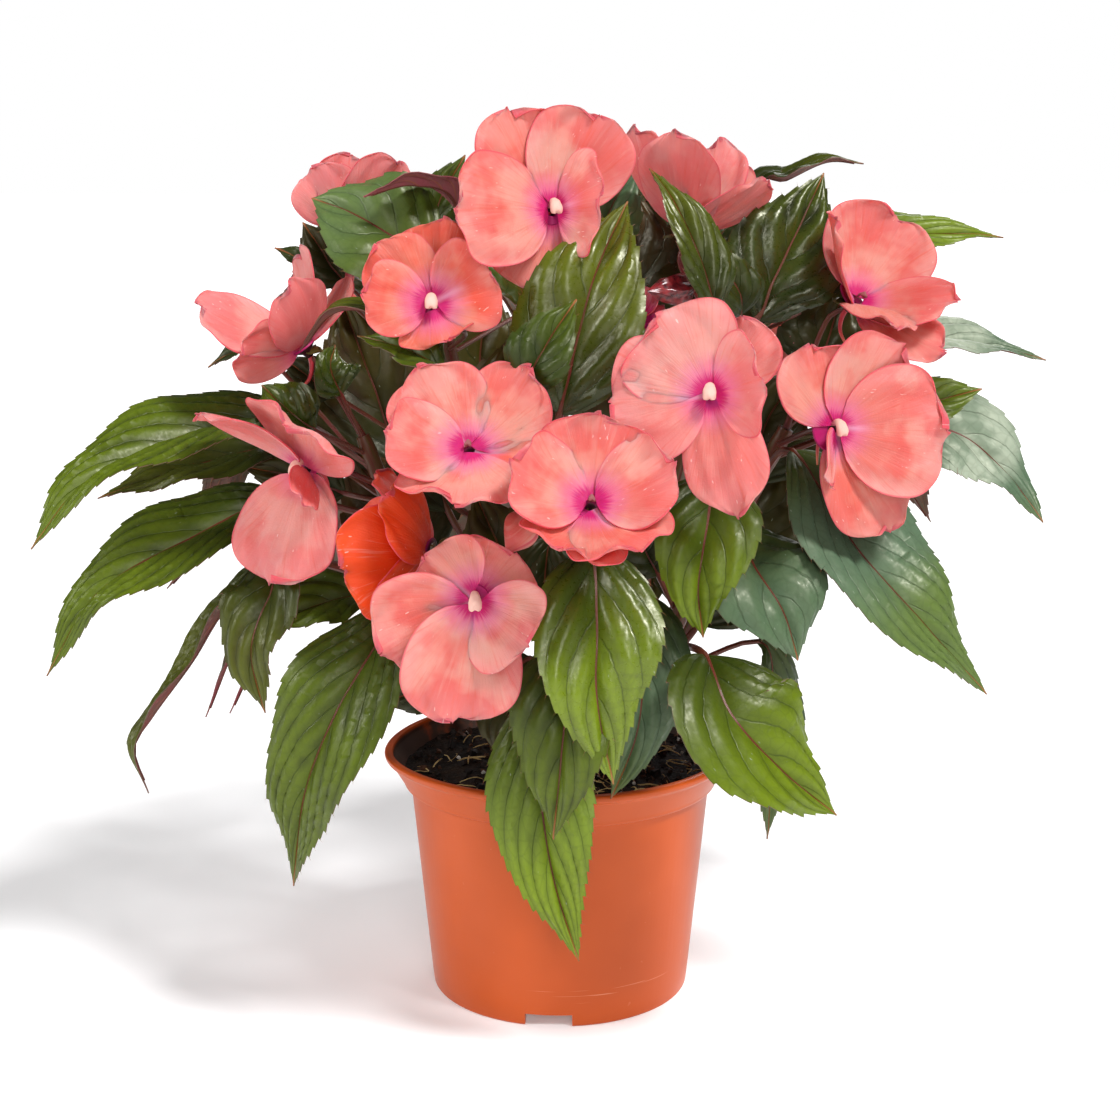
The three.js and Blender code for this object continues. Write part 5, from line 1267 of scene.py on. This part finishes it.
def makeShoots():
    for number, (name, shoot) in enumerate(shoots.items()):
        random = np.random.default_rng(leafShape["seed"] + number)
        path, lengths = smoothLine(shoot["stem"])
        shares = np.linspace(0, 1, stemShape["steps"])
        radius = stemShape["foot"] + (stemShape["top"] - stemShape["foot"]) * shares
        for leaf in shoot["leaves"]:
            near = np.exp(-((shares - leaf[1]) / stemShape["knuckleHalf"]) ** 2)
            radius = radius + stemShape["knuckle"] * near
        stem = along(path, lengths, shares)
        low = stem[0] - np.array([0, 0, stemShape["crownDepth"]])
        parts = [tube(np.vstack([low, stem]), [stemShape["foot"], *radius], stemShape["sides"],
                      leafSlots["stalk"], (stemShape["redness"], 0, 0, number / len(shoots)))]
        for leaf in shoot["leaves"] + shoot.get("inner", []):
            parts += leafParts(along(path, lengths, leaf[1])[0], leaf, random)
        for bloom in blooms.values():
            if bloom["shoot"] == name:
                out = bloomAxes(bloom["face"])[2]
                back = np.array(bloom["throat"]) - out * throat["depth"]
                parts.append(pedicel(along(path, lengths, bloom["from"])[0], back, out))
        for bud in buds.values():
            if bud["shoot"] == name:
                foot = np.array(bud["foot"], float)
                parts.append(pedicel(along(path, lengths, bud["from"])[0], foot, unit(bud["tip"] - foot)))
        foliage = name.replace("shoot", "foliage")
        piece = newPiece(foliage, parts, leafFinishes, name)
        print(foliage, len(piece.data.polygons), "faces")


makeShoots()


petalShape = {
    "rows": 26, "halfColumns": 11, "thick": 0.5, "ruffle": 1.5, "tipWave": 1.5, "pucker": 0.65,
    "scallop": 0.018, "notch": 0.05, "skew": 0.05, "underShade": 0.08, "root": 1.5, "step": 0.6, "sink": 0.4,
    "fullWidth": 32, "seed": 300,
}
evenPetals = {"angles": (90, 18, 162, -54, 234), "width": 0.96, "bow": -1, "fan": 7}
spurShape = {"radius": 1.05, "droop": 7.0, "sides": 8, "rings": 14}
sepalShape = {"length": 7.5, "width": 4.6, "thick": 0.4, "rows": 9, "columns": 7, "cup": 0.8}
bloomTones = {  # depth of colour (partly the bloom's own tone, partly painted shade where a bloom is seen from its shaded side), pinkness, strength of the magenta eye
    "salmon": (0.05, 0.15, 1.0), "pale": (0.0, 0.7, 0.8), "deep": (0.85, 0.0, 0.1), "coral": (0.4, 0.0, 1.0),
    "rose": (0.05, 0.45, 1.0), "light": (0.0, 0.45, 0.6),
}
bloomSlots = {"face": 0, "back": 1, "throat": 2, "spur": 3, "sepal": 4}  # in the order of bloomFinishes


def petalWidth(s):
    # half the petal's width as a share of its greatest
    rising = 0.09 + 0.91 * np.sin(math.pi / 2 * clipped(s / 0.6) ** 0.58)
    closing = np.sqrt(clipped(1 - (clipped(s - 0.6) / 0.4) ** 2.3))
    return np.maximum(rising * closing, 0.05)


def petalPart(root, face, petal, tint, random):
    shape = petalShape
    tip, width, bow, peak = petal[:4]
    reach = np.array(tip, float) - root
    away = unit(reach)
    side = unit(np.cross(away, np.array(petal[4] if len(petal) > 4 else face, float)))
    inward = np.cross(side, away)
    steps = np.linspace(0, 1, shape["rows"] + 1)
    s = (1 - (1 - steps) ** 1.5)[:, None]
    n = shape["halfColumns"]
    c = np.array([math.sin(k * math.pi / 2 / n) for k in range(-n, n + 1)])[None, :]
    spread = petalWidth(s)
    across = c * spread * width / 2
    first, second, third = random.random(3) * 2 * math.pi
    # how far along the petal each point lies: a peak or a notch at the tip, lobes and some skew
    share = s * (1 - 0.05 * c**2 * s**3) + peak * s**6 * np.exp(-((c * spread / 0.3) ** 2))
    lobes = np.sin(7.3 * c + third) + 0.5 * np.sin(15 * c + first)
    skew = shape["skew"] * math.sin(first)
    share = share * (1 + shape["scallop"] * s**4 * lobes + skew * c * s**3)
    share = share - shape["notch"] * max(0, math.sin(third)) * s**6 * np.exp(-((c * spread / 0.22) ** 2))
    # and how far it stands out: the bow, the ruffled edge, waves at the tip and faint creases
    edge = np.sin(2 * math.pi * 1.4 * s + first + 1.3 * np.sign(c))
    wave = shape["ruffle"] * s**2 * np.abs(c) ** 1.5 * edge
    wave = wave + shape["tipWave"] * s**4 * np.sin(2.6 * math.pi * c * spread + second)
    pucker = shape["pucker"] * np.sin(4.6 * math.pi * c + 2 * second) * s * (1.15 - s) * 2
    bowed = 4 * bow * share * (1 - share) * (1 - 0.4 * c**2) + (wave + pucker) * width / shape["fullWidth"]
    rows = root + reach * share[..., None] + inward * bowed[..., None] + side * across[..., None]
    thick = shape["thick"] * (1 - 0.45 * s**2) * np.ones_like(c)
    blade = uvGrid(across / 100, s * np.linalg.norm(reach) / 100)
    return thinBlade(rows, thick, blade, uvGrid(c, s), tint, (bloomSlots["face"], bloomSlots["back"]))


def sepalPart(foot, tip, out):
    shape = sepalShape
    s = np.linspace(0, 1, shape["rows"])[:, None]
    c = np.linspace(-1, 1, shape["columns"])[None, :]
    side = unit(np.cross(unit(tip - foot), out))
    wide = np.maximum(np.sin(math.pi * s**0.8), 0.06) * shape["width"] / 2
    rows = foot + (tip - foot) * s[..., None] + side * (c * wide)[..., None]
    rows = rows + out * (c**2 * shape["cup"])[..., None]
    flat = uvGrid(c * wide / 100, s * 0.07)
    return thinBlade(rows, shape["thick"], flat, flat, (0.45, 0, 0, 0.3), [bloomSlots["sepal"]] * 2)


def throatParts(at, axes, collar):
    # the cup that the petals grow from, the spur behind it and the two sepals
    r, inner, deep, mouth = throat["radius"], throat["inner"], throat["depth"], throat["mouth"]
    profile = [(0.02, -deep), (r * 0.55, -deep), (r * 0.9, -deep * 0.7), (collar, mouth - 0.6),
               (collar - 0.3, mouth - 0.1), (r, mouth - 0.4), (inner, mouth - 1.2), (0.8, -deep * 0.75),
               (0.4, -deep * 0.85), (0.02, -deep * 0.86)]
    parts = [moved(turnedBody(profile, throat["sides"], bloomSlots["throat"], (0, 0, 0, 0)), at, axes)]
    right, up, out = axes
    start = at - out * deep * 0.8
    path, lengths = smoothLine([start + up * 0.5, start - out * 4 - up * 1.5, start - out * 7 - up * 5,
                                start - out * 8 - up * spurShape["droop"] - up * 4])
    shares = np.linspace(0, 1, spurShape["rings"])
    parts.append(tube(along(path, lengths, shares), spurShape["radius"] * (1 - 0.7 * shares),
                      spurShape["sides"], bloomSlots["spur"], (0, 0, 0, 0)))
    for sign in (-1, 1):
        foot = at - out * (deep * 0.75) + right * sign * 0.8
        reach = sepalShape["length"]
        tip = foot + right * sign * reach * 0.8 - out * 1.5 + up * reach * 0.5
        parts.append(sepalPart(foot, tip, out))
    return parts


capShape = {
    "line": [(1.2, -2.8), (1.7, -0.8), (1.8, 0.8), (0.9, 2.0), (-0.7, 2.5), (-2.3, 2.2)],  # up, out
    "shares": [0, 0.2, 0.45, 0.7, 0.9, 0.97, 1], "radii": [0.7, 0.8, 1.2, 1.75, 1.7, 1.3, 0.5],
    "rings": 18, "sides": 20, "flatten": 0.85, "size": 1.15, "hiddenSize": 0.6, "cleft": 0.8, "bumps": 0.25,
}


def capPart(at, axes, isHidden):
    # the joined anthers: a hood that hangs over the throat
    shape = capShape
    right, up, out = axes
    size = shape["hiddenSize"] if isHidden else shape["size"]
    path, lengths = smoothLine([at + (up * u + out * o) * size for u, o in shape["line"]])
    shares = np.linspace(0, 1, shape["rings"])
    radius = np.interp(shares, shape["shares"], shape["radii"]) * size
    body = tube(along(path, lengths, shares), radius, shape["sides"], 0, (float(isHidden), 0, 0, 0),
                shape["flatten"])
    offset = body["points"] - at
    across, above = offset @ right, offset @ up
    cleft = shape["cleft"] * np.exp(-((across / 0.6) ** 2)) * clipped(1.2 - above)
    bumps = shape["bumps"] * np.sin(2.6 * across + 1) * np.sin(2.3 * above)
    body["points"] = body["points"] + up * cleft[:, None] + out * bumps[:, None]
    return body


def openPetals(at, axes, size, lift, turn):
    # five even petals, for the blooms on the hidden side
    right, up, out = axes
    petals = []
    for i, angle in enumerate(evenPetals["angles"]):
        a, b = math.radians(angle + turn), math.radians(lift + i * evenPetals["fan"])
        tip = at + size * (math.cos(b) * (math.cos(a) * right + math.sin(a) * up) + math.sin(b) * out)
        petals.append([tip, size * evenPetals["width"], evenPetals["bow"], 0])
    return petals


def makeBlooms():
    capFinish = creamCap()
    for number, (name, bloom) in enumerate(blooms.items()):
        random = np.random.default_rng(petalShape["seed"] + number)
        axes = bloomAxes(bloom["face"])
        out = axes[2]
        at = np.array(bloom["throat"], float)
        petals = bloom["petals"] if "petals" in bloom else openPetals(at, axes, **bloom["open"])
        petals = sorted(petals, key=lambda one: (np.array(one[0], float) - at).dot(out))
        depth, pinker, eye = bloomTones[bloom.get("tone", "salmon")]
        parts = throatParts(at, axes, bloom.get("collar", throat["collar"]))
        for layer, petal in enumerate(petals):
            sideways = np.array(petal[0], float) - at
            sideways = unit(sideways - out * sideways.dot(out))
            sunk = (layer - 4) * petalShape["step"] - petalShape["sink"]
            root = at + out * sunk + sideways * petalShape["root"]
            # painted shade: the lower a petal lies in its bloom, under the others, the deeper its colour
            depthAndShade = depth * random.uniform(0.8, 1.2) + petalShape["underShade"] * (4 - layer)
            tint = (min(1, depthAndShade), pinker, eye, random.random())
            parts.append(petalPart(root, bloom["face"], petal, tint, random))
        petalsName = name.replace("bloom", "petals")
        piece = newPiece(petalsName, parts, bloomFinishes, name)
        newPiece(name.replace("bloom", "anther_cap"), [capPart(at, axes, bloom.get("capHidden", False))],
                 [capFinish], name.replace("bloom", "anthers"))
        print(petalsName, len(piece.data.polygons), "faces")


makeBlooms()


budShape = {"rows": 22, "around": 30, "least": 0.15}


def makeBuds():
    # the folded petals of a bud wind round it; the wilted one is shrunk and creased
    for name, bud in buds.items():
        foot, tip = np.array(bud["foot"], float), np.array(bud["tip"], float)
        reach = np.linalg.norm(tip - foot)
        isWilted = bud["wilted"]
        s = np.linspace(0, 1, budShape["rows"])[:, None]
        a = around(budShape["around"])[None, :]
        ridge = 1 + bud["foldDepth"] * np.sin(bud["folds"] * a + s * bud["twist"])
        ridge = ridge + (0.1 * np.sin(11 * a - 9 * s) * s if isWilted else 0.06 * np.sin(a - 7 * s) * s)
        radius = np.maximum(bud["width"] / 2 * np.sin(math.pi * s**0.8), budShape["least"]) * ridge
        points = np.stack(np.broadcast_arrays(radius * np.cos(a), radius * np.sin(a), s * reach), -1)
        body = part(points.reshape(-1, 3), ringFaces(budShape["rows"], budShape["around"]), [0, 0, 0],
                    uvGrid(radius * np.sin(a) / 100, 0.15 + s * reach / 100), uvGrid(a / 6, s),
                    (0.6 if isWilted else 0.1, 0, 0, 0.4))
        finish = wiltedSkin() if isWilted else bloomFinishes[bloomSlots["back"]]
        newPiece(name.replace("bud", "folded_bud"), [moved(body, foot, bloomAxes(tip - foot))], [finish],
                 name)
    print("buds made")


makeBuds()
